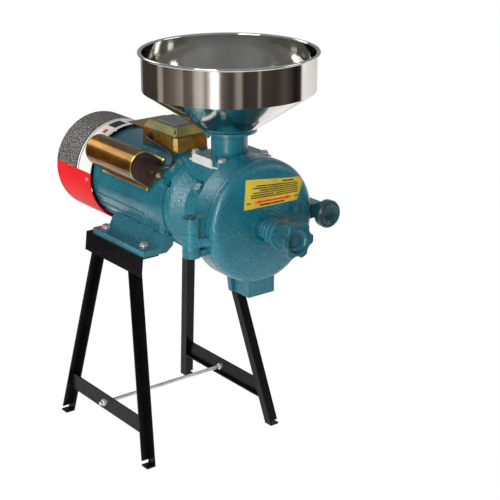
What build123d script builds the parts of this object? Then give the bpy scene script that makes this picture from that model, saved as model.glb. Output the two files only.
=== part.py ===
from build123d import *

import math
import os

os.makedirs("parts", exist_ok=True)

# Electric disc mill for grain on an angle-iron stand, in millimetres.
# +Z is up, the mill's door faces -Y and the motor lies towards +Y.
# The origin is on the floor, at the middle of the overall length and width.

# ---------------------------------------------------------------- driving dimensions
# Clearances
run_gap = 0.3          # between faces that move past each other
seat_gap = 0.05        # radial, between a piece and the seat that holds it
shaft_gap = 0.03       # radial, shaft in its bearings and seal
bolt_gap = 0.4         # radial, bolt in its hole
slide_gap = 0.5        # each side of the gate

# Stand
stand_height = 373.0
stand_half = 88.0      # centre plane to the inside of a leg, at the rail's top
leg_lean = 0.1147      # sideways lean of each side frame, per mm of height
leg_splay = 0.2367     # fore-and-aft spread of each leg, per mm of height
leg_rake = 0.025       # feet stand this far forward of the legs' tops, per mm of height
leg_angle = 18.0
leg_wall = 3.0
leg_top_half = 52.7    # half distance between the legs at the rail's top
leg_top_drop = 15.0
leg_cut = 9.0          # the leg's cross flange ends this far above the floor
rail_angle = 35.0
rail_length = 185.5
rail_behind_feet = 10.0    # rail's middle, behind the middle of the motor's feet
rail_to_legs = 5.5     # tops of the pair of legs, behind the rail's middle
bar_height = 32.0
bar_z = 50.5
bar_flange = 5.0
rod_r = 3.5
rod_from_legs = 8.2    # behind the middle of the pair of legs
nut_r = 6.5
nut_t = 5.5

# Motor
shaft_height = 91.0
frame_r = 85.0
frame_wall = 7.0
frame_length = 209.0
foot_t = 11.0
foot_inner = 58.0
foot_outer = 106.0
foot_length = 168.0
foot_front = 9.0       # behind the frame's front face
foot_bolt_r = 4.0
foot_bolt_x = 86.0
foot_bolt_span = 125.0
foot_bolt_shift = 7.5  # behind the foot's middle
rib_rise = 2.0
rib_t = 3.0
rib_front = 42.0
rib_length = 159.0
top_pad_half = 34.0
top_pad_rise = 1.0     # above the frame's top
top_pad_length = 102.0
cowl_rise = 7.5        # cowl stands out from the frame, radially
cowl_wall = 1.6
cowl_length = 130.0
cowl_overlap = 4.0     # cowl reaches forward past the frame's rear face
cowl_round = 17.0
fan_r = 74.0
fan_width = 28.0
fan_blades = 9
core_length = 120.0
core_bore_r = 45.5
core_slots = 24
slot_depth = 16.0
slot_width = 5.0
winding_reach = 22.0
rotor_r = 45.0
rotor_shaft_r = 15.0
journal_r = 12.5
bearing_r = 26.0
bearing_t = 15.0
shield_ring = 21.0
shield_length = 53.0
shield_rise = 1.0      # end shield's rim stands out from the frame
shield_wall = 7.0
shield_bolt_inset = 3.5    # inside the frame's radius
shield_bolt_r = 2.5
shield_ear_r = 9.0
shield_ear_angle = 32.0
shield_ear_length = 15.0
rear_shield_t = 10.0
lug_half = 7.0         # half width of the lugs that carry the cowl

# Mill body
neck_r = 62.0
neck_length = 84.0
chamber_r = 40.0       # feed chamber round the auger
housing_r = 105.5
housing_rise = 7.0     # housing's and door's middle, above the shaft
housing_wall = 10.0
housing_depth = 38.7
housing_back = 10.0
body_wall = 20.0       # rear wall of the feed chamber
seal_r = 22.0
seal_t = 9.0
body_bolt_r = 4.0
body_bolt_circle = 50.0
plug_r = 7.0
plug_t = 3.5
plug_from_rear = 19.0

# Door
door_round = 15.0      # rounded corner all round
door_depth = 23.7
door_wall = 6.0
door_crown_r = 36.0    # flat middle
door_crown_rise = 3.0
boss_flange_r = 28.5
boss_flange_t = 3.0
boss_r = 20.0
boss_exposed = 37.0
boss_hidden = 13.0     # of the boss, inside the knob's skirt
stem_r = 12.0
knob_skirt_r = 25.0
knob_skirt = 29.0
knob_star = 16.0
knob_tip_r = 31.5
knob_root_r = 26.3     # between the lobes
knob_lobes = 6
knob_scallop_r = 13.0
knob_turned = -5.0      # first lobe, below the horizontal
knob_dish_r = 21.0
knob_floor_r = 12.5     # flat of the dish
knob_dish = 10.0
lock_r = 5.0
lock_angle = 230.0
lock_length = 13.0
door_lug_x = 58.0
door_lug_rise = 21.0
seal_width = 4.0

# Burrs and shaft
burr_r = 72.0
burr_t = 11.0
burr_gap = 1.5
burr_bore_r = 26.0
burr_grooves = 24
burr_from_back = 6.0
burr_screw_inset = 34.0    # inside the burr's rim
carrier_t = 6.0
auger_r = 36.0
auger_hub_r = 17.0
auger_flight = 6.0
mill_shaft_r = 12.0
shaft_thread_r = 8.0
burr_hub = 7.0
burr_nut_t = 8.0
burr_nut_r = 13.0

# Hinge and clamp
hinge_x = 126.0
hinge_r = 15.0
hinge_pin_r = 5.0
horn_r = 12.0
horn_tip_x = 84.0
arm_web = 14.0
hinge_back = 10.7      # hinge line, behind the seam
hinge_drop = 33.0      # lowest knuckle's foot below the shaft
knuckle_low = 11.0
knuckle_mid = 30.0
knuckle_top = 25.5
clamp_x = 126.0
clamp_r = 24.0
clamp_lug_r = 13.0
clamp_lug_t = 13.0
clamp_lug_rise = 3.0
clamp_stud_r = 5.0
clamp_reach = 15.0     # stud's engagement in the body's lug
clamp_swing_gap = 1.4  # radial, stud in the body's lug, for the door's swing
clamp_washer_t = 2.5
clamp_knob_t = 22.0

# Feed
pad_rise = 92.0        # above the shaft
pad_t = 12.0
pad_half = 54.0
pad_shift = 4.0        # pad and flange stand to the right of the feed axis
saddle_rise = 88.0
saddle_half = 45.0
feed_from_housing = 38.0
feed_bore_r = 22.0
gate_t = 2.0
gate_half = 28.0
gate_shift = 3.0       # gate's middle behind the feed axis
gate_left = 55.0
gate_right = 70.0
gate_tab = 15.0
gate_hole_r = 21.0
gate_travel = 45.0
rail_t = 3.0
flange_t = 8.0
feed_neck_r = 30.8
feed_neck_wall = 4.0
feed_ring_r = 46.5
feed_ring_t = 4.5
feed_ring_rise = 148.0  # ring's top above the shaft
neck_bolt_r = 3.5
neck_bolt_x = 44.0
neck_bolt_y = 37.0

# Hopper
hopper_r = 144.5
hopper_rim_r = 150.0
hopper_bead = 2.6
hopper_wall = 1.2
hopper_height = 131.0
hopper_cone = 66.5
hopper_seat_r = 45.5
spigot_depth = 28.0

# Outlet
outlet_half = 27.0
outlet_drop = 122.0    # below the shaft
outlet_front = 12.0    # in front of the seam
outlet_wall = 3.0
outlet_swing_gap = 2.0
outlet_skirt_half = 31.0
outlet_skirt_flare = 5.0

# Terminal box
box_half = 36.0
box_length = 106.0
box_height = 24.5
box_wall = 1.5
box_corner = 11.0
gasket_t = 1.5
lid_half = 39.0
lid_length = 143.0
lid_t = 2.0
lid_base_half = 34.0
lid_base_length = 100.0
lid_top_half = 27.5
lid_top_length = 93.0
lid_rise = 14.5
plate_half = 17.0
plate_length = 58.0
plate_t = 0.8
gland_r = 10.0
gland_length = 20.0

# Capacitor
cap_angle = 36.0       # above the horizontal, on the left
cap_r = 24.0
cap_length = 118.0
cover_r = 27.0
cover_wall = 1.2
cover_length = 146.0
cover_front = 17.0     # behind the frame's front face
cover_stand = 31.0     # base to the arch's centre
cover_lip = 4.0
cap_base_rise = 3.0    # frame's outside to the face that the cover stands on
cap_base_t = 1.5
cap_tab = 15.0
cap_tab_half = 9.0
cap_screw_r = 2.0
cap_lead_r = 3.25

# ---------------------------------------------------------------- stations along Y
overall_length = (
    cowl_length - cowl_overlap + frame_length + shield_length + neck_length + housing_depth
    + run_gap + door_depth + boss_flange_t + boss_exposed + knob_skirt + knob_star
)
cowl_rear_y = overall_length / 2
cowl_front_y = cowl_rear_y - cowl_length
frame_rear_y = cowl_front_y + cowl_overlap
frame_front_y = frame_rear_y - frame_length
shield_front_y = frame_front_y - shield_length
housing_rear_y = shield_front_y - neck_length
seam_y = housing_rear_y - housing_depth
door_rear_y = seam_y - run_gap
door_front_y = door_rear_y - door_depth
boss_base_y = door_front_y - boss_flange_t
skirt_y = boss_base_y - boss_exposed
star_y = skirt_y - knob_skirt
knob_front_y = star_y - knob_star
boss_end_y = skirt_y + run_gap - boss_hidden
feed_y = housing_rear_y + feed_from_housing
gate_y = feed_y + gate_shift
hinge_y = seam_y + hinge_back
core_y = frame_front_y + 97.0
foot_front_y = frame_front_y + foot_front
foot_y = foot_front_y + foot_length / 2
stand_y = foot_y + rail_behind_feet
legs_y = stand_y + rail_to_legs
pad_front_y = housing_rear_y + 0.5
pad_rear_y = shield_front_y - run_gap
pad_y = (pad_front_y + pad_rear_y) / 2

# ---------------------------------------------------------------- heights and radii
motor_z = stand_height + shaft_height
housing_z = motor_z + housing_rise
core_r = frame_r - frame_wall
cowl_r = frame_r + cowl_rise
shield_r = frame_r + shield_rise
shield_bolt_circle = frame_r - shield_bolt_inset
cap_base_r = frame_r + cap_base_rise
rod_z = bar_z + bar_height / 2
pad_z = motor_z + pad_rise
gate_z = pad_z + (rail_t - gate_t) / 2
flange_z = pad_z + rail_t
ring_z = motor_z + feed_ring_rise
feed_neck_bore = feed_neck_r - feed_neck_wall
box_z = motor_z + frame_r + top_pad_rise
lid_z = box_z + box_height + gasket_t
lid_top_z = lid_z + lid_rise
box_front_y = foot_front_y
box_y = box_front_y + box_length / 2
lid_front_y = box_front_y - 1.0
outlet_z = motor_z - outlet_drop
housing_bore = housing_r - housing_wall
burr_front_y = housing_rear_y - housing_back - burr_from_back - burr_t
fixed_burr_y = burr_front_y - burr_gap
carrier_y = fixed_burr_y - burr_t
carrier_front_y = carrier_y - carrier_t
hub_front_y = burr_front_y + burr_t - burr_hub
auger_front_y = burr_front_y + burr_t + run_gap
chamber_y = shield_front_y - body_wall
auger_rear_y = chamber_y - 2.0
hinge_z = motor_z - hinge_drop
knuckle_z = [hinge_z, hinge_z + knuckle_low, hinge_z + knuckle_low + knuckle_mid]
knuckle_h = [knuckle_low, knuckle_mid, knuckle_top]
clamp_z = motor_z + 1.0
foot_bolt_ys = [foot_y + foot_bolt_shift + s * foot_bolt_span / 2 for s in (-1, 1)]

motor_axis = Axis((0, 0, motor_z), (0, 1, 0))
housing_axis = Axis((0, 0, housing_z), (0, 1, 0))


# ---------------------------------------------------------------- shared shapes
def facing(y, x=0.0, z=motor_z):
    """Plane across the shaft: local x is +X, local y is +Z, extrusions run to -Y."""
    return Plane(origin=(x, y, z), x_dir=(1, 0, 0), z_dir=(0, -1, 0))


def bar_y(radius, rear, front, x=0.0, z=motor_z, mode=Mode.ADD):
    """Round bar along Y between two stations."""
    with BuildSketch(facing(rear, x, z)) as outline:
        Circle(radius)
    extrude(outline.sketch, amount=rear - front, mode=mode)


def bars_y(radius, rear, front, circle, count=4, start=0.0, mode=Mode.ADD):
    """Ring of round bars along Y about the shaft."""
    with BuildSketch(facing(rear)) as outline:
        with PolarLocations(circle, count, start_angle=start):
            Circle(radius)
    extrude(outline.sketch, amount=rear - front, mode=mode)


def bar_z_axis(radius, bottom, top, x, y, mode=Mode.ADD):
    """Round bar along Z."""
    with BuildSketch(Plane.XY.offset(bottom)) as outline:
        with Locations((x, y)):
            Circle(radius)
    extrude(outline.sketch, amount=top - bottom, mode=mode)


def block(x0, x1, y0, y1, z0, z1, mode=Mode.ADD):
    """Box between two corners."""
    with BuildSketch(Plane.XY.offset(z0)) as outline:
        with Locations(((x0 + x1) / 2, (y0 + y1) / 2)):
            Rectangle(abs(x1 - x0), abs(y1 - y0))
    extrude(outline.sketch, amount=z1 - z0, mode=mode)


def outline_y(points, rear, front, mode=Mode.ADD):
    """Prism along Y from an outline of (x, z) points."""
    with BuildSketch(facing(rear, 0, 0)) as outline:
        with BuildLine():
            Polyline(*points, close=True)
        make_face()
    extrude(outline.sketch, amount=rear - front, mode=mode)


def outline_x(points, left, right, mode=Mode.ADD):
    """Prism along X from an outline of (y, z) points."""
    with BuildSketch(Plane.YZ.offset(left)) as outline:
        with BuildLine():
            Polyline(*points, close=True)
        make_face()
    extrude(outline.sketch, amount=right - left, mode=mode)


def turned(points, axis=motor_axis, mode=Mode.ADD):
    """Solid of revolution from (y, radius) points, about the shaft's axis or another one along Y."""
    with BuildSketch(Plane.YZ) as outline:
        with BuildLine():
            Polyline(*[(y, axis.position.Z + r) for y, r in points], close=True)
        make_face()
    revolve(outline.sketch, axis=axis, mode=mode)


def bolts_down(places, head_z, shank_r, length, head_h, head_r=None):
    """Hexagon bolts along -Z, with their heads standing on head_z."""
    with BuildSketch(Plane.XY.offset(head_z)) as heads:
        with Locations(*places):
            RegularPolygon(head_r or shank_r * 1.85, 6)
    extrude(heads.sketch, amount=head_h)
    with BuildSketch(Plane.XY.offset(head_z)) as shanks:
        with Locations(*places):
            Circle(shank_r)
    extrude(shanks.sketch, amount=-length)


def finish(builder, label):
    """Label a piece and write it."""
    builder.part.label = label
    export_step(builder.part, f"parts/{label}.step")


# ---------------------------------------------------------------- stand
leg_foot_half = leg_top_half + leg_splay * stand_height
foot_outer_x = stand_half + leg_lean * stand_height + leg_angle
rail_bottom = stand_height - rail_angle


def leg_outer(z):
    """Distance from the centre plane to the outside edge of a leg at height z."""
    return foot_outer_x - leg_lean * z


def legs_middle(z):
    """Y of the middle of a pair of legs at height z."""
    return legs_y - leg_rake * (stand_height - z)


def leg_corner(end, z, side):
    """Y of the outer face of a leg's cross flange; end is -1 in front, +1 behind, side -1 or +1."""
    return legs_middle(z) - side * leg_angle / 2 + end * (leg_foot_half - leg_splay * z)


rod_y = legs_middle(rod_z) + rod_from_legs


def side_frame(side):
    """Rail, two legs, feet and cross bar of one side frame; side is -1 or +1."""
    inner = foot_outer_x - leg_angle
    with BuildPart() as frame:
        for end in (1, -1):
            corner = leg_corner(end, 0, side)
            flange = corner + side * leg_angle
            face = corner + side * leg_wall
            with BuildSketch(Plane.XY):
                with BuildLine():
                    Polyline(
                        (side * foot_outer_x, corner), (side * inner, corner), (side * inner, flange),
                        (side * (inner + leg_wall), flange), (side * (inner + leg_wall), face),
                        (side * foot_outer_x, face), close=True,
                    )
                make_face()
            slope = Vector(-side * leg_lean, leg_rake - end * leg_splay, 1)
            extrude(amount=(stand_height - leg_top_drop) * slope.length, dir=slope.normalized())
            # the cross flange stops short of the floor, the other one is folded out as a foot
            block(side * (inner + leg_wall), side * (foot_outer_x + 1), face + side * leg_wall,
                  corner - side * leg_wall, 0, leg_cut, mode=Mode.SUBTRACT)
            block(side * inner, side * foot_outer_x, flange, corner, 0, leg_wall)
        # rail with its upright flange leaning like the legs
        out_low = leg_outer(rail_bottom)
        out_top = out_low - leg_lean * rail_angle
        outline_y(
            [(side * x, z) for x, z in (
                (out_low, rail_bottom), (out_low + leg_wall, rail_bottom),
                (out_top + leg_wall, stand_height), (out_top + leg_wall - rail_angle, stand_height),
                (out_top + leg_wall - rail_angle, stand_height - leg_wall),
                (out_top + leg_lean * leg_wall, stand_height - leg_wall),
            )],
            stand_y + rail_length / 2, stand_y - rail_length / 2,
        )
        # cross bar between the legs, with a flange turned inwards
        web_x = leg_outer(rod_z) - leg_angle + leg_wall + bar_flange
        bar_top = bar_z + bar_height
        front_inset, rear_inset = (leg_wall, 0) if side > 0 else (0, leg_wall)
        ends = [(leg_corner(-1, z, side) + front_inset, z) for z in (bar_z, bar_top)]
        ends += [(leg_corner(1, z, side) - rear_inset, z) for z in (bar_top, bar_z)]
        outline_x(ends, side * web_x, side * (web_x + leg_wall))
        block(side * (leg_outer(bar_z) - leg_angle), side * (web_x + leg_wall),
              ends[0][0], ends[-1][0], bar_z, bar_z + leg_wall)
        # holes for the motor's foot bolts and the tie rod
        for y in foot_bolt_ys:
            bar_z_axis(foot_bolt_r + bolt_gap, stand_height - leg_wall - 1, stand_height + 1,
                       side * foot_bolt_x, y, mode=Mode.SUBTRACT)
        with BuildSketch(Plane.YZ):
            with Locations((rod_y, rod_z)):
                Circle(rod_r + bolt_gap)
        extrude(amount=side * foot_outer_x, mode=Mode.SUBTRACT)
    return frame, web_x


stand_frame_left, bar_x = side_frame(-1)
finish(stand_frame_left, "stand_frame_left")
stand_frame_right, bar_x = side_frame(1)
finish(stand_frame_right, "stand_frame_right")

rod_half = bar_x + leg_wall + nut_t + 6.0
with BuildPart() as tie_rod:
    with BuildSketch(Plane.YZ.offset(-rod_half)):
        with Locations((rod_y, rod_z)):
            Circle(rod_r)
    extrude(amount=2 * rod_half)
finish(tie_rod, "tie_rod")

with BuildPart() as tie_rod_nuts:
    for x in (-bar_x - leg_wall - nut_t, -bar_x, bar_x - nut_t, bar_x + leg_wall):
        with BuildSketch(Plane.YZ.offset(x)):
            with Locations((rod_y, rod_z)):
                RegularPolygon(nut_r, 6)
                Circle(rod_r + seat_gap, mode=Mode.SUBTRACT)
        extrude(amount=nut_t)
finish(tie_rod_nuts, "tie_rod_nuts")

foot_bolt_places = [(s * foot_bolt_x, y) for s in (-1, 1) for y in foot_bolt_ys]
foot_top_z = stand_height + foot_t
with BuildPart() as foot_bolts:
    bolts_down(foot_bolt_places, foot_top_z, foot_bolt_r, foot_t + leg_wall + 9.5, 5.3)
finish(foot_bolts, "foot_bolts")

with BuildPart() as foot_nuts:
    with BuildSketch(Plane.XY.offset(stand_height - leg_wall)):
        with Locations(*foot_bolt_places):
            RegularPolygon(foot_bolt_r * 1.85, 6)
            Circle(foot_bolt_r + seat_gap, mode=Mode.SUBTRACT)
    extrude(amount=-6.5)
finish(foot_nuts, "foot_nuts")

# ---------------------------------------------------------------- motor
cap_dir = Vector(-math.cos(math.radians(cap_angle)), 0, math.sin(math.radians(cap_angle)))
cap_up = Vector(math.sin(math.radians(cap_angle)), 0, math.cos(math.radians(cap_angle)))


def cap_plane(y):
    """Plane across the capacitor: local x runs round the motor, upwards, local y away from the shaft."""
    return Plane(origin=(0, y, motor_z), x_dir=cap_up, z_dir=(0, -1, 0))


cover_front_y = frame_front_y + cover_front
cover_rear_y = cover_front_y + cover_length
cap_seat_r = cap_base_r - cap_base_t
shield_angles = [shield_ear_angle, 180 - shield_ear_angle, 180 + shield_ear_angle, -shield_ear_angle]
shield_bolt_places = [
    (shield_bolt_circle * math.cos(math.radians(a)), shield_bolt_circle * math.sin(math.radians(a)))
    for a in shield_angles
]


def shield_bars(radius, rear, front, mode=Mode.ADD):
    """Round bars on the end shields' bolt circle."""
    with BuildSketch(facing(rear)) as outline:
        with Locations(*shield_bolt_places):
            Circle(radius)
    extrude(outline.sketch, amount=rear - front, mode=mode)


with BuildPart() as motor_frame:
    bar_y(frame_r, frame_rear_y, frame_front_y)
    # feet with their webs
    for side in (-1, 1):
        block(side * foot_inner, side * foot_outer, foot_front_y, foot_front_y + foot_length,
              stand_height, foot_top_z)
        web_top = foot_top_z + 28.0
        outline_y([(side * foot_inner, stand_height), (side * (foot_inner + 12), stand_height),
                   (side * (foot_inner + 12), foot_top_z), (side * (foot_inner - 2), web_top),
                   (side * (foot_inner - 14), web_top), (side * (foot_inner - 14), foot_top_z)],
                  foot_front_y + foot_length, foot_front_y)
    # cooling ribs on both flanks
    for angle in (-44, -30, -16, -2):
        for flank in (angle, 180 - angle):
            direction = Vector(math.cos(math.radians(flank)), 0, math.sin(math.radians(flank)))
            rib_plane = Plane(origin=(0, frame_front_y + rib_front, motor_z), x_dir=direction,
                              z_dir=(0, 1, 0))
            with BuildSketch(rib_plane):
                with Locations((frame_r - 1, 0)):
                    Rectangle(2 * (rib_rise + 1), rib_t)
            extrude(amount=rib_length)
    # seats for the terminal box and the capacitor
    block(-top_pad_half, top_pad_half, foot_front_y + 2, foot_front_y + 2 + top_pad_length,
          motor_z + frame_r - 12, box_z)
    with BuildSketch(cap_plane(cover_rear_y + cap_tab)):
        with Locations((0, cap_seat_r - 8)):
            Rectangle(2 * cap_tab_half, 16)
    extrude(amount=cover_length + 2 * cap_tab)
    # bore for the core, wire passage to the box
    bar_y(core_r, frame_rear_y + 1, frame_front_y - 1, mode=Mode.SUBTRACT)
    bar_z_axis(10, motor_z + frame_r - 20, box_z + 1, 0, box_y, mode=Mode.SUBTRACT)
    # holes
    for x, y in foot_bolt_places:
        bar_z_axis(foot_bolt_r + bolt_gap, stand_height - 1, foot_top_z + 1, x, y, mode=Mode.SUBTRACT)
    shield_bars(shield_bolt_r + seat_gap, frame_front_y + 16, frame_front_y - 1, mode=Mode.SUBTRACT)
    shield_bars(shield_bolt_r + seat_gap, frame_rear_y + 1, frame_rear_y - 16, mode=Mode.SUBTRACT)
    for y in (cover_front_y - cap_tab / 2, cover_rear_y + cap_tab / 2):
        with BuildSketch(Plane(origin=Vector(0, y, motor_z) + cap_dir * (cap_seat_r + 1),
                               x_dir=(0, 1, 0), z_dir=(cap_dir * -1))):
            Circle(cap_screw_r + seat_gap)
        extrude(amount=7, mode=Mode.SUBTRACT)
finish(motor_frame, "motor_frame")

with BuildPart() as stator_core:
    turned([(core_y - core_length / 2, core_bore_r), (core_y + core_length / 2, core_bore_r),
            (core_y + core_length / 2, core_r - seat_gap), (core_y - core_length / 2, core_r - seat_gap)])
    with BuildSketch(facing(core_y + core_length / 2)):
        with PolarLocations(core_bore_r + slot_depth / 2, core_slots):
            Rectangle(slot_depth + 2, slot_width)
    extrude(amount=core_length, mode=Mode.SUBTRACT)
finish(stator_core, "stator_core")

with BuildPart() as stator_windings:
    for rear, front in ((core_y + core_length / 2 + winding_reach, core_y + core_length / 2 + 0.5),
                        (core_y - core_length / 2 - 0.5, core_y - core_length / 2 - winding_reach)):
        turned([(front, core_bore_r + 2), (rear, core_bore_r + 2), (rear, core_bore_r + slot_depth),
                (front, core_bore_r + slot_depth)])
    with BuildSketch(facing(core_y + core_length / 2 + 1)):
        with PolarLocations(core_bore_r + slot_depth / 2 + 1, core_slots):
            Rectangle(slot_depth - 3, slot_width - 0.6)
    extrude(amount=core_length + 2)
finish(stator_windings, "stator_windings")

with BuildPart() as rotor_core:
    turned([(core_y - core_length / 2, rotor_shaft_r + shaft_gap), (core_y + core_length / 2, rotor_shaft_r + shaft_gap),
            (core_y + core_length / 2, rotor_r), (core_y - core_length / 2, rotor_r)])
    # end rings with their small vanes
    for rear in (core_y + core_length / 2 + 8, core_y - core_length / 2):
        with BuildSketch(facing(rear)):
            Circle(rotor_r - 3)
            Circle(rotor_r - 14, mode=Mode.SUBTRACT)
        extrude(amount=8)
finish(rotor_core, "rotor_core")

front_bearing_y = shield_front_y + 13.0     # front face of the front bearing
rear_bearing_y = frame_rear_y - bearing_t   # front face of the rear bearing
fan_front_y = frame_rear_y + rear_shield_t + 24.0
shaft_rear_y = fan_front_y + fan_width + 2
shaft_tip_y = hub_front_y - burr_nut_t - 3.0

with BuildPart() as main_shaft:
    turned([
        (shaft_rear_y, 0), (shaft_rear_y, journal_r - 1.5), (rear_bearing_y + bearing_t + 2, journal_r - 1.5),
        (rear_bearing_y + bearing_t + 2, journal_r), (rear_bearing_y - run_gap, journal_r),
        (rear_bearing_y - run_gap, rotor_shaft_r), (front_bearing_y + bearing_t + run_gap, rotor_shaft_r),
        (front_bearing_y + bearing_t + run_gap, journal_r), (front_bearing_y - 1, journal_r),
        (front_bearing_y - 1, mill_shaft_r), (hub_front_y, mill_shaft_r), (hub_front_y, shaft_thread_r),
        (shaft_tip_y, shaft_thread_r), (shaft_tip_y, 0),
    ])
finish(main_shaft, "main_shaft")


def bearing(front, label):
    """Ball bearing drawn as one ring with a groove between its races."""
    with BuildPart() as ring:
        rear = front + bearing_t
        bore = journal_r + shaft_gap
        mid = (journal_r + bearing_r) / 2
        turned([(front, bore), (rear, bore), (rear, mid - 2.5), (rear - 1.2, mid - 2.5),
                (rear - 1.2, mid + 2.5), (rear, mid + 2.5), (rear, bearing_r), (front, bearing_r),
                (front, mid + 2.5), (front + 1.2, mid + 2.5), (front + 1.2, mid - 2.5), (front, mid - 2.5)])
    finish(ring, label)
    return ring


front_bearing = bearing(front_bearing_y, "front_bearing")
rear_bearing = bearing(rear_bearing_y, "rear_bearing")

shield_wall_y = shield_front_y + 11.0      # inner face of the front wall
bell_y = frame_front_y - shield_ring
with BuildPart() as end_shield:
    turned([
        (frame_front_y, core_r), (frame_front_y, shield_r), (bell_y, shield_r), (bell_y, shield_r - 2.5),
        (bell_y - 3, shield_r - 2.5), (bell_y - 12, shield_r - 7), (shield_front_y + 6, neck_r + 5),
        (shield_front_y, neck_r),
        (shield_front_y, journal_r + 2), (shield_wall_y, journal_r + 2), (shield_wall_y, bearing_r + seat_gap),
        (front_bearing_y + bearing_t, bearing_r + seat_gap), (front_bearing_y + bearing_t, bearing_r + 7),
        (shield_wall_y, bearing_r + 7), (shield_wall_y, neck_r - shield_wall),
        (bell_y - 10, core_r - shield_wall),
    ])
    shield_bars(shield_ear_r, frame_front_y, frame_front_y - shield_ear_length)
    shield_bars(shield_bolt_r + bolt_gap, frame_front_y + 1, frame_front_y - shield_ear_length - 1,
                mode=Mode.SUBTRACT)
    shield_bars(shield_bolt_r * 2.3, frame_front_y - shield_ear_length, bell_y - 5, mode=Mode.SUBTRACT)
    # web under the saddle of the mill
    outline_x([(shield_front_y, motor_z + neck_r - 4), (shield_front_y, motor_z + saddle_rise),
               (bell_y, motor_z + saddle_rise), (bell_y, motor_z + min(shield_r - 6, saddle_rise - 1))],
              -saddle_half + pad_shift, saddle_half + pad_shift)
    turned([(bell_y, core_r - shield_wall - 1), (shield_wall_y, neck_r - shield_wall),
            (shield_wall_y, bearing_r + 7), (bell_y, bearing_r + 7)], mode=Mode.SUBTRACT)
    bars_y(body_bolt_r + bolt_gap, shield_wall_y + 1, shield_front_y - 1, body_bolt_circle, start=45,
           mode=Mode.SUBTRACT)
finish(end_shield, "end_shield")

with BuildPart() as rear_end_shield:
    turned([
        (frame_rear_y + rear_shield_t, journal_r + 2), (frame_rear_y + rear_shield_t, core_r),
        (frame_rear_y + rear_shield_t - 4, frame_r), (frame_rear_y, frame_r), (frame_rear_y, core_r),
        (frame_rear_y + 3, core_r - 2), (frame_rear_y + 3, bearing_r + 7), (rear_bearing_y, bearing_r + 7),
        (rear_bearing_y, bearing_r + seat_gap), (frame_rear_y, bearing_r + seat_gap),
        (frame_rear_y, journal_r + 2),
    ])
    # lugs that carry the cowl
    with BuildSketch(facing(frame_rear_y + rear_shield_t)):
        with PolarLocations(core_r, 4, start_angle=0):
            Rectangle(2 * (math.sqrt((cowl_r - cowl_wall - seat_gap) ** 2 - lug_half**2) - core_r), 2 * lug_half)
    extrude(amount=rear_shield_t - 1)
    shield_bars(shield_bolt_r + bolt_gap, frame_rear_y + rear_shield_t + 1, frame_rear_y - 1, mode=Mode.SUBTRACT)
    shield_bars(shield_bolt_r * 2.2, frame_rear_y + rear_shield_t + 1, frame_rear_y + 5, mode=Mode.SUBTRACT)
    with BuildSketch(Plane.XY.offset(motor_z)):
        with Locations((0, frame_rear_y + rear_shield_t / 2)):
            Circle(1.5 + seat_gap)
    extrude(amount=cowl_r, both=True, mode=Mode.SUBTRACT)
    with BuildSketch(Plane.YZ):
        with Locations((frame_rear_y + rear_shield_t / 2, motor_z)):
            Circle(1.5 + seat_gap)
    extrude(amount=cowl_r, both=True, mode=Mode.SUBTRACT)
    turned([(frame_rear_y + 3.5, bearing_r + 8), (frame_rear_y - 1, bearing_r + 8), (frame_rear_y - 1, core_r - 3),
            (frame_rear_y + 3.5, core_r - 3)], mode=Mode.SUBTRACT)
finish(rear_end_shield, "rear_end_shield")

with BuildPart() as shield_bolts:
    ear_y = frame_front_y - shield_ear_length
    shield_bars(shield_bolt_r, frame_front_y + 14, ear_y)
    shield_bars(shield_bolt_r * 1.7, ear_y, ear_y - 3)
    shield_bars(shield_bolt_r, frame_rear_y + 5, frame_rear_y - 14)
    shield_bars(shield_bolt_r * 1.7, frame_rear_y + 8, frame_rear_y + 5)
finish(shield_bolts, "shield_bolts")

with BuildPart() as fan:
    turned([(fan_front_y, journal_r - 1.5 + shaft_gap), (fan_front_y, fan_r * 0.9), (fan_front_y + 3, fan_r * 0.9),
            (fan_front_y + 3, 22), (fan_front_y + fan_width, 20),
            (fan_front_y + fan_width, journal_r - 1.5 + shaft_gap)])
    with BuildSketch(facing(fan_front_y + fan_width)):
        with PolarLocations((fan_r + 20) / 2, fan_blades):
            Rectangle(fan_r - 20, 2.5)
    extrude(amount=fan_width)
finish(fan, "fan")

cowl_in = cowl_r - cowl_wall
grille_r = cowl_r - cowl_round - 9.5
with BuildPart() as fan_cowl:
    with BuildSketch(Plane.YZ):
        with BuildLine():
            FilletPolyline((cowl_front_y, motor_z + cowl_r), (cowl_rear_y, motor_z + cowl_r), (cowl_rear_y, motor_z),
                           radius=cowl_round)
            Line((cowl_rear_y, motor_z), (cowl_front_y, motor_z))
            Line((cowl_front_y, motor_z), (cowl_front_y, motor_z + cowl_r))
        make_face()
    revolve(axis=motor_axis)
    with BuildSketch(Plane.YZ):
        with BuildLine():
            FilletPolyline((cowl_front_y - 1, motor_z + cowl_in), (cowl_rear_y - cowl_wall, motor_z + cowl_in),
                           (cowl_rear_y - cowl_wall, motor_z), radius=cowl_round - cowl_wall)
            Line((cowl_rear_y - cowl_wall, motor_z), (cowl_front_y - 1, motor_z))
            Line((cowl_front_y - 1, motor_z), (cowl_front_y - 1, motor_z + cowl_in))
        make_face()
    revolve(axis=motor_axis, mode=Mode.SUBTRACT)
    # air inlet grille
    with BuildSketch(facing(cowl_rear_y + 1)):
        for radius in [grille_r - 14 * i for i in range(4)]:
            Circle(radius + 4)
            Circle(radius - 4, mode=Mode.SUBTRACT)
        with PolarLocations(cowl_r / 2, 6):
            Rectangle(cowl_r, 7, mode=Mode.SUBTRACT)
    extrude(amount=cowl_wall + 2, mode=Mode.SUBTRACT)
    for plane, place in ((Plane.XY.offset(motor_z), (0, frame_rear_y + rear_shield_t / 2)),
                         (Plane.YZ, (frame_rear_y + rear_shield_t / 2, motor_z))):
        with BuildSketch(plane):
            with Locations(place):
                Circle(1.5 + bolt_gap)
        extrude(amount=cowl_r + 1, both=True, mode=Mode.SUBTRACT)
finish(fan_cowl, "fan_cowl")

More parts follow.
